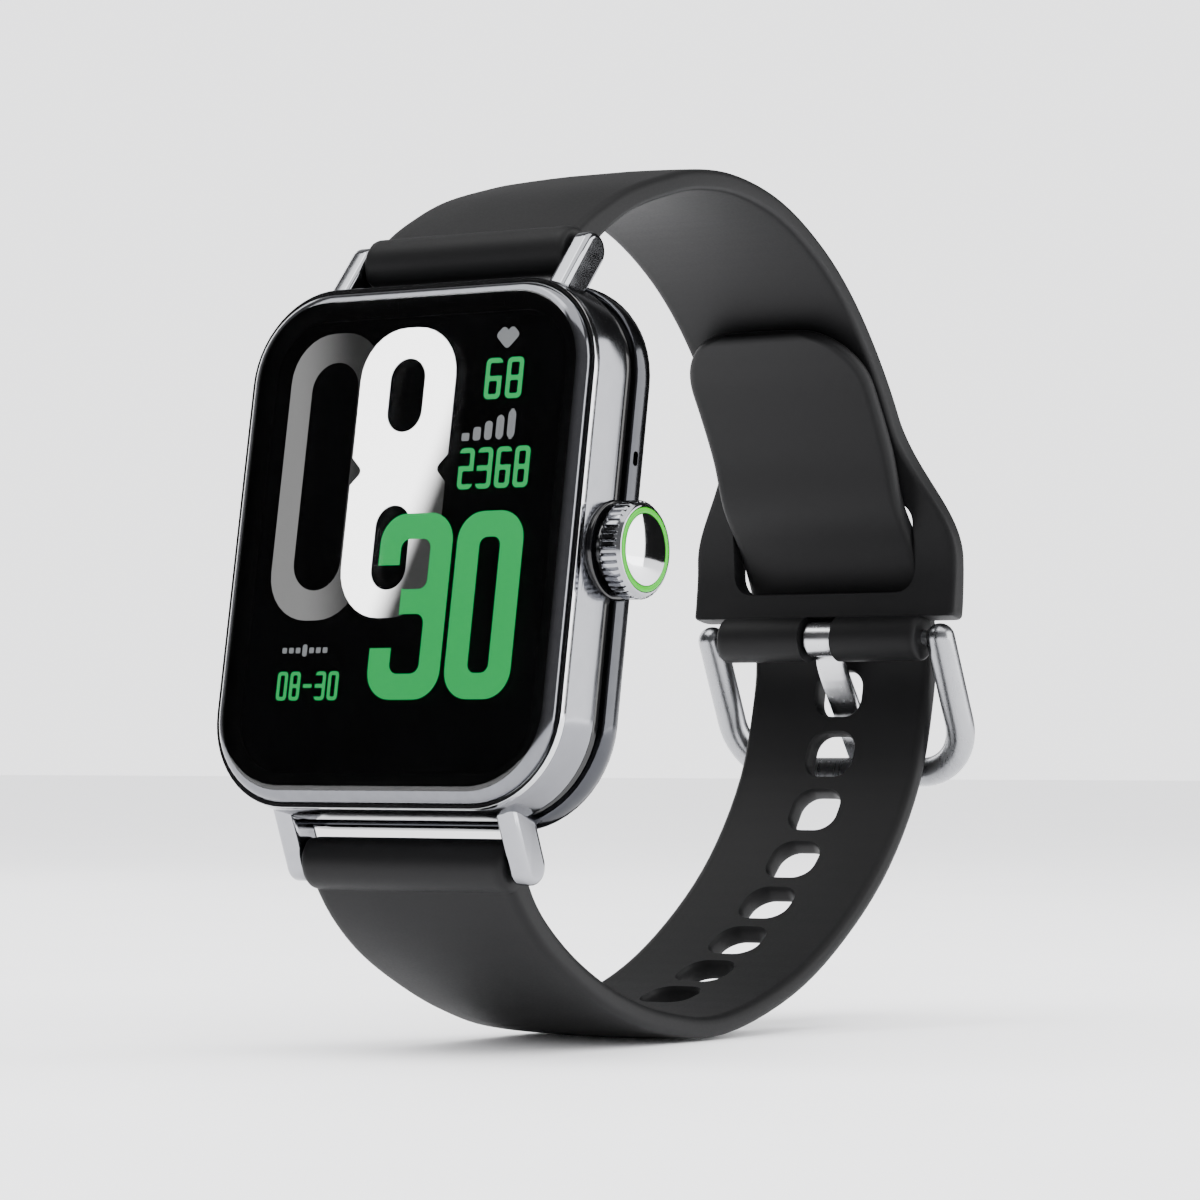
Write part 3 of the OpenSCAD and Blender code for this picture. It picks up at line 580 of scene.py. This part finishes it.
def blank(stations, width, outer, inner, crown, outer_roll, inner_roll):
    """A flat strap: x across, y along, z outwards. width, outer and inner give half sizes at a running length."""
    bm = bmesh.new()
    bmesh.ops.create_cone(bm, cap_ends=True, segments=RING, radius1=1, radius2=1, depth=1)
    long_edges = [e for e in bm.edges if abs(e.verts[0].co.z - e.verts[1].co.z) > 0.5]
    bmesh.ops.subdivide_edges(bm, edges=long_edges, cuts=len(stations) - 2, use_grid_fill=True)
    for vert in bm.verts:
        side = round(math.atan2(vert.co.y, vert.co.x) / math.tau * RING + 0.25) % RING
        s = stations[round((vert.co.z + 0.5) * (len(stations) - 1))]
        quarter, k = divmod(side, len(FROM_EDGE))
        if quarter in (1, 3):
            k = len(FROM_EDGE) - 1 - k
        half = width(s)
        reach = min(FROM_EDGE[k], half * 0.8)
        x = (half - reach) * (1 if quarter in (0, 3) else -1)
        if quarter < 2:
            thick = outer(s)
            z = thick - crown(s) * (x / half) ** 2 - rolled(reach, min(outer_roll, thick * 0.8))
        else:
            thick = inner(s)
            z = -thick + rolled(reach, min(inner_roll, thick * 0.8))
        vert.co = (x, s, z)
    bmesh.ops.recalc_face_normals(bm, faces=bm.faces)
    return bm


def bend(bm, path, outward):
    """Carries the flat blank onto the loop; outward is 1 if the path's left side is the outside, -1 if its right."""
    for vert in bm.verts:
        y, z, _, turn = path.at(vert.co.y)
        lift = outward * vert.co.z
        vert.co = (vert.co.x, y - lift * math.sin(turn), z + lift * math.cos(turn))


# %% Running lengths, easing and round ends
def spaced(start, stop, step):
    """Running lengths from start to stop, about a step apart."""
    count = max(1, round((stop - start) / step))
    return [start + (stop - start) * i / count for i in range(count + 1)]


def arc_lengths(centre, radius, start, stop, step=4):
    """Running lengths round a circle, evenly spaced by angle."""
    return [centre + radius * math.sin(math.radians(a)) for a in range(start, stop, step)]


def in_order(stations):
    """Sorted running lengths without any that fall on their neighbour."""
    kept = []
    for s in sorted(stations):
        if not kept or s - kept[-1] > SAME_PLACE:
            kept.append(s)
    return kept


def round_end(centre, radius, s):
    """Half thickness of a round end about a bar at running length centre."""
    return math.sqrt(max(radius ** 2 - (s - centre) ** 2, 0.0))


def ease(t):
    """A smooth step from 0 to 1."""
    t = min(max(t, 0.0), 1.0)
    return 0.5 - 0.5 * math.cos(t * math.pi)


# %% Cutter with soft lips
def flared_cutter(width, length, radius, at, reach=4.0, lip=0.28, waist=1.0):
    """A rounded prism along z that widens at both faces of the strap, so the cut has soft lips."""
    cutter = bmesh.new()
    sizes = []
    for depth, grow in ((-reach, 1.6), (-waist - 0.25, lip * 1.3), (-waist, lip), (-waist + 0.12, lip * 0.45),
                        (-waist + 0.3, 0.06), (-waist + 0.5, 0), (waist - 0.5, 0), (waist - 0.3, 0.06),
                        (waist - 0.12, lip * 0.45), (waist, lip), (waist + 0.25, lip * 1.3), (reach, 1.6)):
        sizes.append((width + 2 * grow, length + 2 * grow, radius + grow, depth))
    loft(cutter, sizes, caps=True, steps=8)
    turn = Matrix.Translation(at) @ Matrix.Rotation(math.radians(90), 4, "X")
    bmesh.ops.transform(cutter, matrix=turn, verts=cutter.verts)
    bmesh.ops.recalc_face_normals(cutter, faces=cutter.faces)
    return cutter


# %% [markdown]
# ### Upper half
# It starts round the upper spring bar, narrows a little, then flares to the wide end with the slot that takes the
# tail. Past its square shoulders a thinner round end holds the buckle's bar, with a notch for the tongue.

# %% Widths and thickness of the upper half
STRAP_W, MID_W, TAIL_W, WIDE_W = 21.8, 20.4, 20.8, 30.6
TAPER_FROM, TAPER_OVER = 9, 21
FLARE_FROM, FLARE_OVER = 26, 13
END_R, END_HALF = 2.3, 11.6
SHOULDER = 2.0
STEP = 0.55
shoulder_s = upper_path.length
bar_s = shoulder_s + SHOULDER


def tapered(y, width):
    """Half width that goes from the strap's full width at the lugs to width, further back."""
    return STRAP_W / 2 + (width - STRAP_W) / 2 * ease((y - TAPER_FROM) / TAPER_OVER)


def upper_width(s):
    """Half width of the upper half at a running length."""
    y, z, _, _ = upper_path.at(s)
    if s > shoulder_s + 0.001:
        return END_HALF - rolled(max(bar_s + END_R - s, 0) * 3, 0.5) * 0.6
    if y < 40:
        return tapered(y, MID_W)
    wide = MID_W / 2 + (WIDE_W - MID_W) / 2 * ease((FLARE_FROM - z) / FLARE_OVER)
    return wide - rolled(shoulder_s - s, 0.4)


def upper_thick(s):
    """Half thickness of the upper half at a running length."""
    _, _, thick, _ = upper_path.at(s)
    if s > shoulder_s + 0.001:
        return max(round_end(bar_s, END_R, s), THINNEST)
    body = thick / 2 if s > 0 else THINNEST
    return max(body, round_end(0, HUB_R, s), round_end(bar_s, END_R, s))


def upper_crown(s):
    """The outer face is flat at the hub, crowned along the strap and nearly flat again at the wide end."""
    return 0.34 * ease(s / 8) * (1 - 0.85 * ease((s - bar_s + 34) / 18))


hub_stations = arc_lengths(0, HUB_R, -88, 60)
stations = hub_stations + spaced(2.1, shoulder_s - 0.5, STEP)
stations += [shoulder_s - d for d in (0.4, 0.28, 0.18, 0.1, 0.04, 0.0)]
stations += [shoulder_s + 0.01] + arc_lengths(bar_s, END_R, -58, 89)
upper = blank(in_order(stations), upper_width, upper_thick, upper_thick, upper_crown, 0.62, 0.5)
print(f"upper blank: {len(upper.verts)} points, shoulder at {shoulder_s:.1f} mm")


# %% Slot, notch and bend
SLOT_W, SLOT_LOW, SLOT_HIGH, SLOT_R = 20.9, 9.75, 18.7, 2.0
TONGUE_W = 3.2


def length_at_height(path, height, start, stop):
    """Running length between start and stop where the path falls through a height."""
    for _ in range(40):
        middle = (start + stop) / 2
        start, stop = (middle, stop) if path.at(middle)[1] > height else (start, middle)
    return start


slot_low = length_at_height(upper_path, SLOT_LOW, upper_path.knot(8), bar_s)
slot_high = length_at_height(upper_path, SLOT_HIGH, upper_path.knot(8), bar_s)
slot_middle = (0, (slot_low + slot_high) / 2, 0)
upper = carve(upper, flared_cutter(SLOT_W, slot_low - slot_high, SLOT_R, slot_middle, lip=0.12))
notch = flared_cutter(TONGUE_W + 0.5, 6.4, 0.3, (0, bar_s + 1.15, 0), waist=2.6, lip=0.2)
upper = carve(upper, notch)
bend(upper, upper_path, 1)


# %% Window of the release lever
def lever_slot(side):
    """The window in the inner face that a thumbnail reaches the quick-release lever through."""
    cutter = bmesh.new()
    loft(cutter, [(4.2, 1.5, 0.4, 0.0), (4.2, 1.5, 0.4, 1.9), (4.8, 2.1, 0.7, 2.5), (5.4, 2.7, 1.0, 3.2)],
         caps=True, steps=5)
    bmesh.ops.recalc_face_normals(cutter, faces=cutter.faces)
    bmesh.ops.translate(cutter, verts=cutter.verts, vec=(5.5, BAR[0], side * BAR[1]))
    return cutter


upper = carve(upper, lever_slot(1))
make_piece(upper, "strap_upper_half", "upper_strap", silicone, ["strap_upper"], corner=48)

# %% [markdown]
# ### Lower half
# Eight holes run up the middle, and the tail thins towards a round tip that lies inside the upper half. Its tip is
# drawn by narrowing the rings along a quarter circle, and the last half millimetre thins to a soft edge.

# %% Widths and thickness of the lower half
TIP_R = 7.0
tip_s = lower_path.length


def lower_width(s):
    """Half width of the lower half at a running length."""
    y, _, _, _ = lower_path.at(s)
    if s < tip_s - 40:
        return tapered(y, TAIL_W)
    left = max(tip_s - s, 0.0)
    return TAIL_W / 2 - rolled(left, TIP_R) * 0.93


def lower_thick(s):
    """Half thickness of the lower half at a running length."""
    _, _, thick, _ = lower_path.at(s)
    body = thick / 2 if s > 0 else THINNEST
    body -= rolled(max(tip_s - s, 0.0), 0.7) * 0.9
    return max(body, round_end(0, HUB_R, s), THINNEST)


stations = hub_stations + spaced(2.1, tip_s - TIP_R, STEP)
stations += [tip_s - TIP_R * (1 - math.cos(math.radians(a))) for a in range(0, 91, 3)]
lower = blank(in_order(stations), lower_width, lower_thick, lower_thick, lambda s: 0.3 * ease(s / 8), 0.6, 0.75)

# %% Holes
HOLES, HOLE_PITCH, HOLE_LIFT = 8, 6.6, 0.1
HOLE_W, HOLE_L, HOLE_R = 5.1, 4.7, 1.75
first_hole = lower_path.knot(11) + HOLE_LIFT
for k in range(HOLES):
    hole = (0, first_hole - k * HOLE_PITCH, 0)
    lower = carve(lower, flared_cutter(HOLE_W, HOLE_L, HOLE_R, hole, lip=0.22, waist=0.95))
bend(lower, lower_path, -1)
lower = carve(lower, lever_slot(-1))
make_piece(lower, "strap_lower_half", "lower_strap", silicone, ["strap_lower"], corner=48)

# %% [markdown]
# ## Buckle
# The buckle is one round wire, 2.9 mm thick. A circle is drawn out along an arm, spun round the first corner, drawn
# along the far bar, spun round the second corner and drawn back up the other arm. Both ends are domed.

# %% Wire frame
WIRE_R, ARM_X, FRAME_L, FRAME_CORNER = 1.45, 13.4, 14.7, 5.6
FRAME_LEAN = 34
ARM_STEPS, CORNER_RINGS = 6, 14
on_buckle = Matrix.Translation((0, *BUCKLE)) @ Matrix.Rotation(math.radians(FRAME_LEAN - 90), 4, "X")


def only_verts(geometry):
    return [g for g in geometry if isinstance(g, bmesh.types.BMVert)]


def only_edges(geometry):
    return [g for g in geometry if isinstance(g, bmesh.types.BMEdge)]


def drawn_on(bm, edges, by, scale=1.0, middle=(0, 0, 0)):
    """Draws a ring of edges on by a vector and gives the new ring."""
    grown = bmesh.ops.extrude_edge_only(bm, edges=edges)["geom"]
    verts = only_verts(grown)
    bmesh.ops.translate(bm, verts=verts, vec=by)
    if scale != 1.0:
        bmesh.ops.scale(bm, verts=verts, vec=(scale, scale, scale), space=Matrix.Translation(-Vector(middle)))
    return only_edges(grown)


# %% Arms, corners and far bar
wire = bmesh.new()
start = bmesh.ops.create_circle(wire, cap_ends=False, segments=40, radius=WIRE_R)
bmesh.ops.transform(wire, verts=start["verts"],
                    matrix=Matrix.Translation((ARM_X, 0, 0)) @ Matrix.Rotation(math.radians(90), 4, "X"))
first_ring = list(wire.edges)
edges = first_ring
straight = FRAME_L - FRAME_CORNER
corner_x = ARM_X - FRAME_CORNER
for _ in range(ARM_STEPS):
    edges = drawn_on(wire, edges, (0, straight / ARM_STEPS, 0))
for centre, along, reach in (((corner_x, straight, 0), (-1, 0, 0), 2 * corner_x),
                             ((-corner_x, straight, 0), (0, -1, 0), straight)):
    verts = list({v for e in edges for v in e.verts})
    spun_wire = bmesh.ops.spin(wire, geom=verts + edges, cent=centre, axis=(0, 0, 1), dvec=(0, 0, 0),
                               angle=math.radians(90), steps=CORNER_RINGS)
    edges = only_edges(spun_wire["geom_last"])
    for _ in range(ARM_STEPS):
        edges = drawn_on(wire, edges, Vector(along) * reach / ARM_STEPS)

# %% Domed ends
for ring_edges, x in ((first_ring, ARM_X), (edges, -ARM_X)):
    centre, reach, radius = Vector((x, 0, 0)), 0.0, 1.0
    for angle in (15, 30, 45, 58, 70, 80, 87):
        new_reach, new_radius = math.sin(math.radians(angle)), math.cos(math.radians(angle))
        step = WIRE_R * (reach - new_reach)
        centre.y += step
        ring_edges = drawn_on(wire, ring_edges, (0, step, 0), new_radius / radius, centre)
        reach, radius = new_reach, new_radius
    bmesh.ops.contextual_create(wire, geom=ring_edges)
bmesh.ops.transform(wire, matrix=on_buckle, verts=wire.verts)
make_piece(wire, "buckle_wire", "buckle", satin_steel, ["buckle_frame"])

# %% [markdown]
# ### Tongue
# The tongue is a satin strip that is rolled round the buckle's bar and reaches down through a hole to rest by
# the far bar. It is drawn out and bent like the strap, only smaller: the roll's arc and the leaf are one side view.

# %% Tongue
TONGUE_T = 0.95
BORE_R = 0.8
TONGUE_TIP = 0.9
roll_r = BORE_R + TONGUE_T / 2 + 0.01
tongue_knots = [(roll_r * math.cos(math.radians(a)), roll_r * math.sin(math.radians(a))) for a in range(290, 29, -20)]
tongue_knots += [(roll_r - 0.02, 0.1), (roll_r + 0.12, -0.75), (2.15, -2.75), (6.05, -6.75), (10.35, -11.2),
                 (11.2, -12.55)]
tongue_path = Path([(BUCKLE[0] + y, BUCKLE[1] + z, TONGUE_T) for y, z in tongue_knots])
tongue_s = tongue_path.length


def tongue_half_width(s):
    """Half width of the tongue, with a round tip."""
    return TONGUE_W / 2 - rolled(max(tongue_s - s, 0), TONGUE_TIP) * 0.8


def tongue_thick(s):
    """Half thickness of the tongue."""
    return TONGUE_T / 2 - rolled(max(tongue_s - s, 0), 0.3) * 0.8


stations = spaced(0, tongue_s - TONGUE_TIP, 0.2)
stations += [tongue_s - TONGUE_TIP * (1 - math.cos(math.radians(a))) for a in range(0, 91, 6)]
tongue = blank(in_order(stations), tongue_half_width, tongue_thick, tongue_thick, lambda s: 0.0, 0.2, 0.2)
bend(tongue, tongue_path, 1)
make_piece(tongue, "buckle_tongue_strip", "tongue", satin_chrome, ["buckle_tongue"], corner=50)

# %% [markdown]
# ## The dial
# The picture on the display is a few thin layers of coloured light between the glass and the panel: big white and
# grey hour digits, green minute digits in front of them, and small figures and icons beside them. Each digit is a
# flat rounded slab with its openings cut out, and an open digit has the side it lacks cut away too. A texture could
# hold the picture, but shapes stay sharp at any size.

# %% Light of the display
LAYER_Y = 0.475
LAYER_T = 0.02
LAYER_GAP = 0.024


def lit(name, near, far, axis, start, stop, strength):
    """Emission that runs from one colour to another along x, z or their diagonal, from start to stop in mm."""
    material = finish(name, "050505", 0.3)
    tree = material.node_tree
    where = add(tree, "TexCoord")
    along = add(tree, "VectorMath", {0: where.outputs["Object"], 1: Vector(axis).normalized()},
                operation="DOT_PRODUCT")
    blend = add(tree, "MapRange", {"Value": along.outputs["Value"], "From Min": start * MM, "From Max": stop * MM},
                interpolation_type="SMOOTHSTEP")
    ramp = add(tree, "ValToRGB", {"Fac": blend.outputs["Result"]})
    ramp.color_ramp.elements[0].color = colour(near)
    ramp.color_ramp.elements[1].color = colour(far)
    cells = add(tree, "TexNoise", {"Vector": where.outputs["Object"], "Scale": 1 / (0.12 * MM), "Detail": 1.0})
    grid = add(tree, "MapRange", {"Value": cells.outputs["Fac"], "To Min": strength * 0.94, "To Max": strength * 1.06})
    principled = tree.nodes["Principled BSDF"]
    tree.links.new(ramp.outputs["Color"], principled.inputs["Emission Color"])
    tree.links.new(grid.outputs["Result"], principled.inputs["Emission Strength"])
    return material


# Positions along a slope are given from the middle of the dial, so its height is taken off or added in proportion.
dial_z = MIDDLE / MM
WHITE_SHIFT, GREY_SHIFT = -0.33 * dial_z, 0.15 * dial_z
white_light = lit("white display light", "FFFFFF", "1C1C1C", (1, 0, -0.35), WHITE_SHIFT - 1.2, WHITE_SHIFT + 2.2, 4.5)
grey_light = lit("grey display light", "8E8E8E", "2C2C2C", (1, 0, 0.15), GREY_SHIFT - 11.5, GREY_SHIFT - 4, 1.1)
green_light = lit("green display light", "16AE55", "1EB65E", (0, 0, 1), -14, 17, 1.25)
dim_light = lit("dim grey display light", "8C8F92", "94979A", (0, 0, 1), -14, 17, 1.0)


# %% Plates and digits
def plate(x_low, x_high, z_low, z_high, corner, half=LAYER_T / 2, steps=8):
    """A flat slab with round corners in the dial's rearmost layer."""
    bm = bmesh.new()
    size = (x_high - x_low, z_high - z_low, corner)
    loft(bm, [(*size, -half), (*size, half)], caps=True, steps=steps)
    bmesh.ops.recalc_face_normals(bm, faces=bm.faces)
    bmesh.ops.translate(bm, verts=bm.verts, vec=((x_low + x_high) / 2, LAYER_Y, (z_low + z_high) / 2))
    return bm


def dash(left, right, middle, height):
    """A short bar with slightly round corners."""
    return plate(left, right, middle - height / 2, middle + height / 2, height * 0.2, steps=3)


def digit_slab(left, right, low, high, side, top, radius, holes=None, cuts=()):
    """A solid digit, carved by its openings and by the boxes that leave it open: (left, right, low, high)."""
    width = right - left
    slab = plate(left, right, low, high, radius)
    for z_low, z_high in holes or [(low + top, high - top)]:
        corner = min(max(radius - side * 0.75, 0.05), (z_high - z_low) / 2 - 0.01, width / 2 - side - 0.01)
        slab = carve(slab, plate(left + side, right - side, z_low, z_high, corner, LAYER_T * 2))
    for x_low, x_high, z_low, z_high in cuts:
        slab = carve(slab, plate(x_low, x_high, z_low, z_high, 0.02, LAYER_T * 2))
    return slab


def joined(parts):
    """One bmesh from several."""
    whole = bmesh.new()
    for part in parts:
        mesh = bpy.data.meshes.new("part")
        part.to_mesh(mesh)
        part.free()
        whole.from_mesh(mesh)
        bpy.data.meshes.remove(mesh)
    return whole


# %% Small figures
# The sides that each figure lacks: t or b for its top or bottom half, and l or r for left or right.
LACKS = {"0": "", "2": "tl br", "3": "tl bl", "5": "tr bl", "6": "tr", "8": ""}


def small_figures(text, left, low, high, width, stroke, gap):
    """A row of small plain figures, each a rounded frame with a bar at its middle and the sides it lacks cut away."""
    parts = []
    middle = (low + high) / 2
    for figure in text:
        right = left + width
        if figure == "-":
            parts.append(dash(left + 0.1, right - 0.1, middle, stroke))
        else:
            sides = {"t": (middle + stroke / 2, high - stroke), "b": (low + stroke, middle - stroke / 2)}
            holes = [(low + stroke, high - stroke)] if figure == "0" else [sides["b"], sides["t"]]
            cuts = []
            for lacks in LACKS[figure].split():
                x = (left - 0.1, left + stroke + 0.02) if lacks[1] == "l" else (right - stroke - 0.02, right + 0.1)
                cuts.append((*x, *sides[lacks[0]]))
            parts.append(digit_slab(left, right, low, high, stroke, stroke, stroke * 1.1, holes, cuts))
        left = right + gap
    return parts


def lift_layer(bm, layer):
    """Brings digits forward so that they cover the ones behind."""
    bmesh.ops.translate(bm, verts=bm.verts, vec=(0, -LAYER_GAP * layer, 0))


# %% Hours
hour_tens = digit_slab(-14.1, -4.1, -6.8, 19.4, 2.4, 2.7, 4.4)
make_piece(hour_tens, "dial_hour_tens", "case", grey_light)
hour_ones = digit_slab(-6.3, 4.1, -6.7, 19.5, 3.3, 2.8, 4.6, [(-4.2, 3.4), (10.0, 16.7)])
for side_x in (-6.9, 4.7):  # a notch on each side gives the digit its waist
    pinch = dash(-1.3, 1.3, 0, 2.6)
    turn = Matrix.Translation((side_x, 0, 6.6)) @ Matrix.Rotation(math.radians(45), 4, "Y")
    bmesh.ops.scale(pinch, verts=pinch.verts, vec=(1, 3, 1), space=Matrix.Translation((0, -LAYER_Y, 0)))
    bmesh.ops.transform(pinch, matrix=turn, verts=pinch.verts)
    hour_ones = carve(hour_ones, pinch)
lift_layer(hour_ones, 1)
make_piece(hour_ones, "dial_hour_ones", "case", white_light)

# %% Minutes and the small figures
minutes = joined([
    digit_slab(-2.2, 5.6, -14.0, 2.6, 2.3, 2.3, 2.6, [(-11.7, -6.4), (-4.2, 0.3)], [(-2.4, 0.6, -9.4, -2.0)]),
    digit_slab(6.1, 13.1, -14.0, 2.6, 2.4, 2.3, 2.6)])
lift_layer(minutes, 2)
make_piece(minutes, "dial_minutes", "case", green_light)
figures = joined(small_figures("68", 7.3, 12.6, 16.3, 1.75, 0.45, 0.5)
                 + small_figures("2368", 5.4, 4.6, 8.3, 1.6, 0.45, 0.37))
make_piece(figures, "dial_counts", "case", green_light)
make_piece(joined(small_figures("08-30", -12.1, -14.0, -11.4, 1.15, 0.34, 0.26)), "dial_date", "case",
           green_light)

# %% Icons
steps_icon = [dash(5.4 + 1.2 * k, 6.2 + 1.2 * k, 9.3 + 0.25 * k, 0.7 + 0.5 * k) for k in range(5)]
week_icon = [dash(-11.9 + 0.75 * k, -11.4 + 0.75 * k, -9.5, 0.5 if k != 3 else 1.1) for k in range(7)]
heart = []
for side in (-1, 1):
    lobe = dash(-0.62, 0.62, 0, 1.87)
    turn = Matrix.Translation((9.3 + side * 0.22, 0, 18.1)) @ Matrix.Rotation(math.radians(side * 45), 4, "Y")
    bmesh.ops.transform(lobe, matrix=turn, verts=lobe.verts)
    heart.append(lobe)
make_piece(joined(steps_icon + week_icon + heart), "dial_icons", "case", dim_light)

# %% [markdown]
# ## Finishes of the exact solids that stay
# Everything under the skin keeps its exact solid, and only its material is new. Screws, pins, seals, boards and the
# cell are plain parts whose solids are already right, so making them again would add nothing.

# %% Finishes by node
panel = finish("display panel behind polariser", "030304", 0.18, Specular_IOR_Level=0.08)
vary(panel, "020203", "050506", 4.0, (0.14, 0.22))
ink = vary(finish("black printed ink", "020202", 0.35, Specular_IOR_Level=0.08), "010101", "040405", 1.0, (0.3, 0.42))
KEPT = {
    panel: ["display_panel"],
    ink: ["ink_border"],
    seal_rubber: ["glass_seal", "back_seal", "crown_seal"],
    back_satin: ["back_cover"],
    tinted_glass: ["sensor_window"],
    solder_mask: ["sensor_board", "main_board"],
    gold_plate: ["charging_pins", "encoder_wheel"],
    machined_steel: ["back_screws", "shield_can", "motor_can", "crown_stem", "crown_clip", "bar_tube_upper",
                     "bar_tube_lower", "bar_spring_upper", "bar_spring_lower", "release_pin_upper",
                     "release_pin_lower", "buckle_bar", "speaker", "microphone"],
    moulded_grey: ["chassis", "switch_body", "switch_plunger", "crown_bushing"],
    film: ["display_flex"],
    pouch: ["battery"],
    copper: ["motor_rotor"],
}
for material, names in KEPT.items():
    for name in names:
        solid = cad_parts[name]
        solid.data.materials.clear()
        solid.data.materials.append(material)
shown = [name for name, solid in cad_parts.items() if not solid.hide_render]
finished = {name for names in KEPT.values() for name in names}
print("kept solids:", len(shown), "without a finish:", sorted(set(shown) - finished))

# %% [markdown]
# ## Floor, light and camera
# The watch stands on its strap, slightly leant back, so the floor is tilted by that lean and touches the strap's
# lowest point. The studio is bright for the floor and dark for reflections, except for three soft glows and four
# softboxes: a large one by the crown, one above, one above the front and a strip on the left.

# %% Floor
LEAN = math.radians(9.65)
FLOOR_GAP = 0.05 * MM
floor_up = Vector((0, -math.sin(LEAN), math.cos(LEAN)))
halves = [bpy.data.objects["strap_upper_half"], bpy.data.objects["strap_lower_half"]]
lowest = min(v.co.dot(floor_up) for half in halves for v in half.data.vertices)
floor = bmesh.new()
bmesh.ops.create_grid(floor, x_segments=1, y_segments=1, size=3.0)  # metres
floor_mesh = bpy.data.meshes.new("floor")
floor.to_mesh(floor_mesh)
floor.free()
floor_mesh.transform(Matrix.Translation(floor_up * (lowest - FLOOR_GAP)) @ Matrix.Rotation(LEAN, 4, "X"))
floor_piece = bpy.data.objects.new("floor", floor_mesh)
scene.collection.objects.link(floor_piece)
floor_mesh.materials.append(vary(finish("matt white board", "F4F4F5", 0.7), "F2F2F3", "F6F6F7", 40, (0.65, 0.75)))
print(f"floor {lowest / MM:.2f} mm below the origin, along its own upright")

# %% Studio light
world = bpy.data.worlds.new("studio")
scene.world = world
world.use_nodes = True
tree = world.node_tree
background = tree.nodes["Background"]
path = add(tree, "LightPath")
toward = add(tree, "TexCoord").outputs["Generated"]


def heading(azimuth, elevation):
    """The unit vector from the watch towards an azimuth and elevation in degrees; azimuth 90 is the crown's side."""
    a, e = math.radians(azimuth), math.radians(elevation)
    return Vector((math.sin(a) * math.cos(e), -math.cos(a) * math.cos(e), math.sin(e)))


def glow(azimuth, elevation, start, stop, strength, below):
    """Adds to the studio's reflected light a soft glow, from start to stop degrees off its middle."""
    along = add(tree, "VectorMath", {0: toward, 1: heading(azimuth, elevation)}, operation="DOT_PRODUCT")
    spread = add(tree, "MapRange", {"Value": along.outputs["Value"], "From Min": math.cos(math.radians(start)),
                                    "From Max": math.cos(math.radians(stop)), "To Max": strength},
                 interpolation_type="SMOOTHSTEP")
    return add(tree, "Math", {0: spread.outputs["Result"], 1: below}, operation="ADD").outputs["Value"]


reflected = glow(70, 10, 75, 15, 0.3, 0.015)
reflected = glow(-125, 5, 65, 15, 0.6, reflected)
reflected = glow(20, 80, 60, 10, 0.1, reflected)
ROOM_LIGHT = 2.6
level = add(tree, "Mix", {"Factor": path.outputs["Is Glossy Ray"], "A": ROOM_LIGHT, "B": reflected})
tree.links.new(level.outputs["Result"], background.inputs["Strength"])
background.inputs["Color"].default_value = colour("FDFDFF")
print(f"room light {ROOM_LIGHT}, with three glows in reflections")


# %% Softboxes
def softbox(name, azimuth, elevation, distance, width, height, power):
    """A rectangular light that looks at the watch from an azimuth and elevation in degrees; distances in metres."""
    back = heading(azimuth, elevation)
    light = bpy.data.lights.new(name, "AREA")
    light.shape, light.size, light.size_y = "RECTANGLE", width, height
    light.energy = power
    lamp = bpy.data.objects.new(name, light)
    lamp.location = back * distance
    lamp.rotation_mode = "QUATERNION"
    lamp.rotation_quaternion = back.to_track_quat("Z", "Y")
    lamp.visible_camera = False
    scene.collection.objects.link(lamp)


softbox("side softbox", 113, 12, 0.55, 0.5, 0.6, 5.0)
softbox("top softbox", 40, 72, 0.6, 0.6, 0.6, 3.0)
softbox("front top softbox", -34, 54, 0.6, 0.5, 0.32, 2.2)
softbox("left strip", -110, 10, 0.6, 0.12, 0.7, 1.5)
print("softboxes:", len(bpy.data.lights))

# %% Camera
# A long lens keeps the far parts of the loop from looking small. The camera stands low, on the crown's side.
camera_data = bpy.data.cameras.new("camera")
camera_data.lens, camera_data.sensor_width = 135.115, 36
camera_data.clip_start, camera_data.clip_end = 0.01, 20
camera = bpy.data.objects.new("camera", camera_data)
camera.location = (0.23506, -0.34936, -0.07346)
camera.rotation_euler = tuple(math.radians(a) for a in (99.905, -5.393, 33.586))
scene.collection.objects.link(camera)
scene.camera = camera
print(f"camera {camera.location.length:.2f} m away, lens {camera_data.lens:.0f} mm")
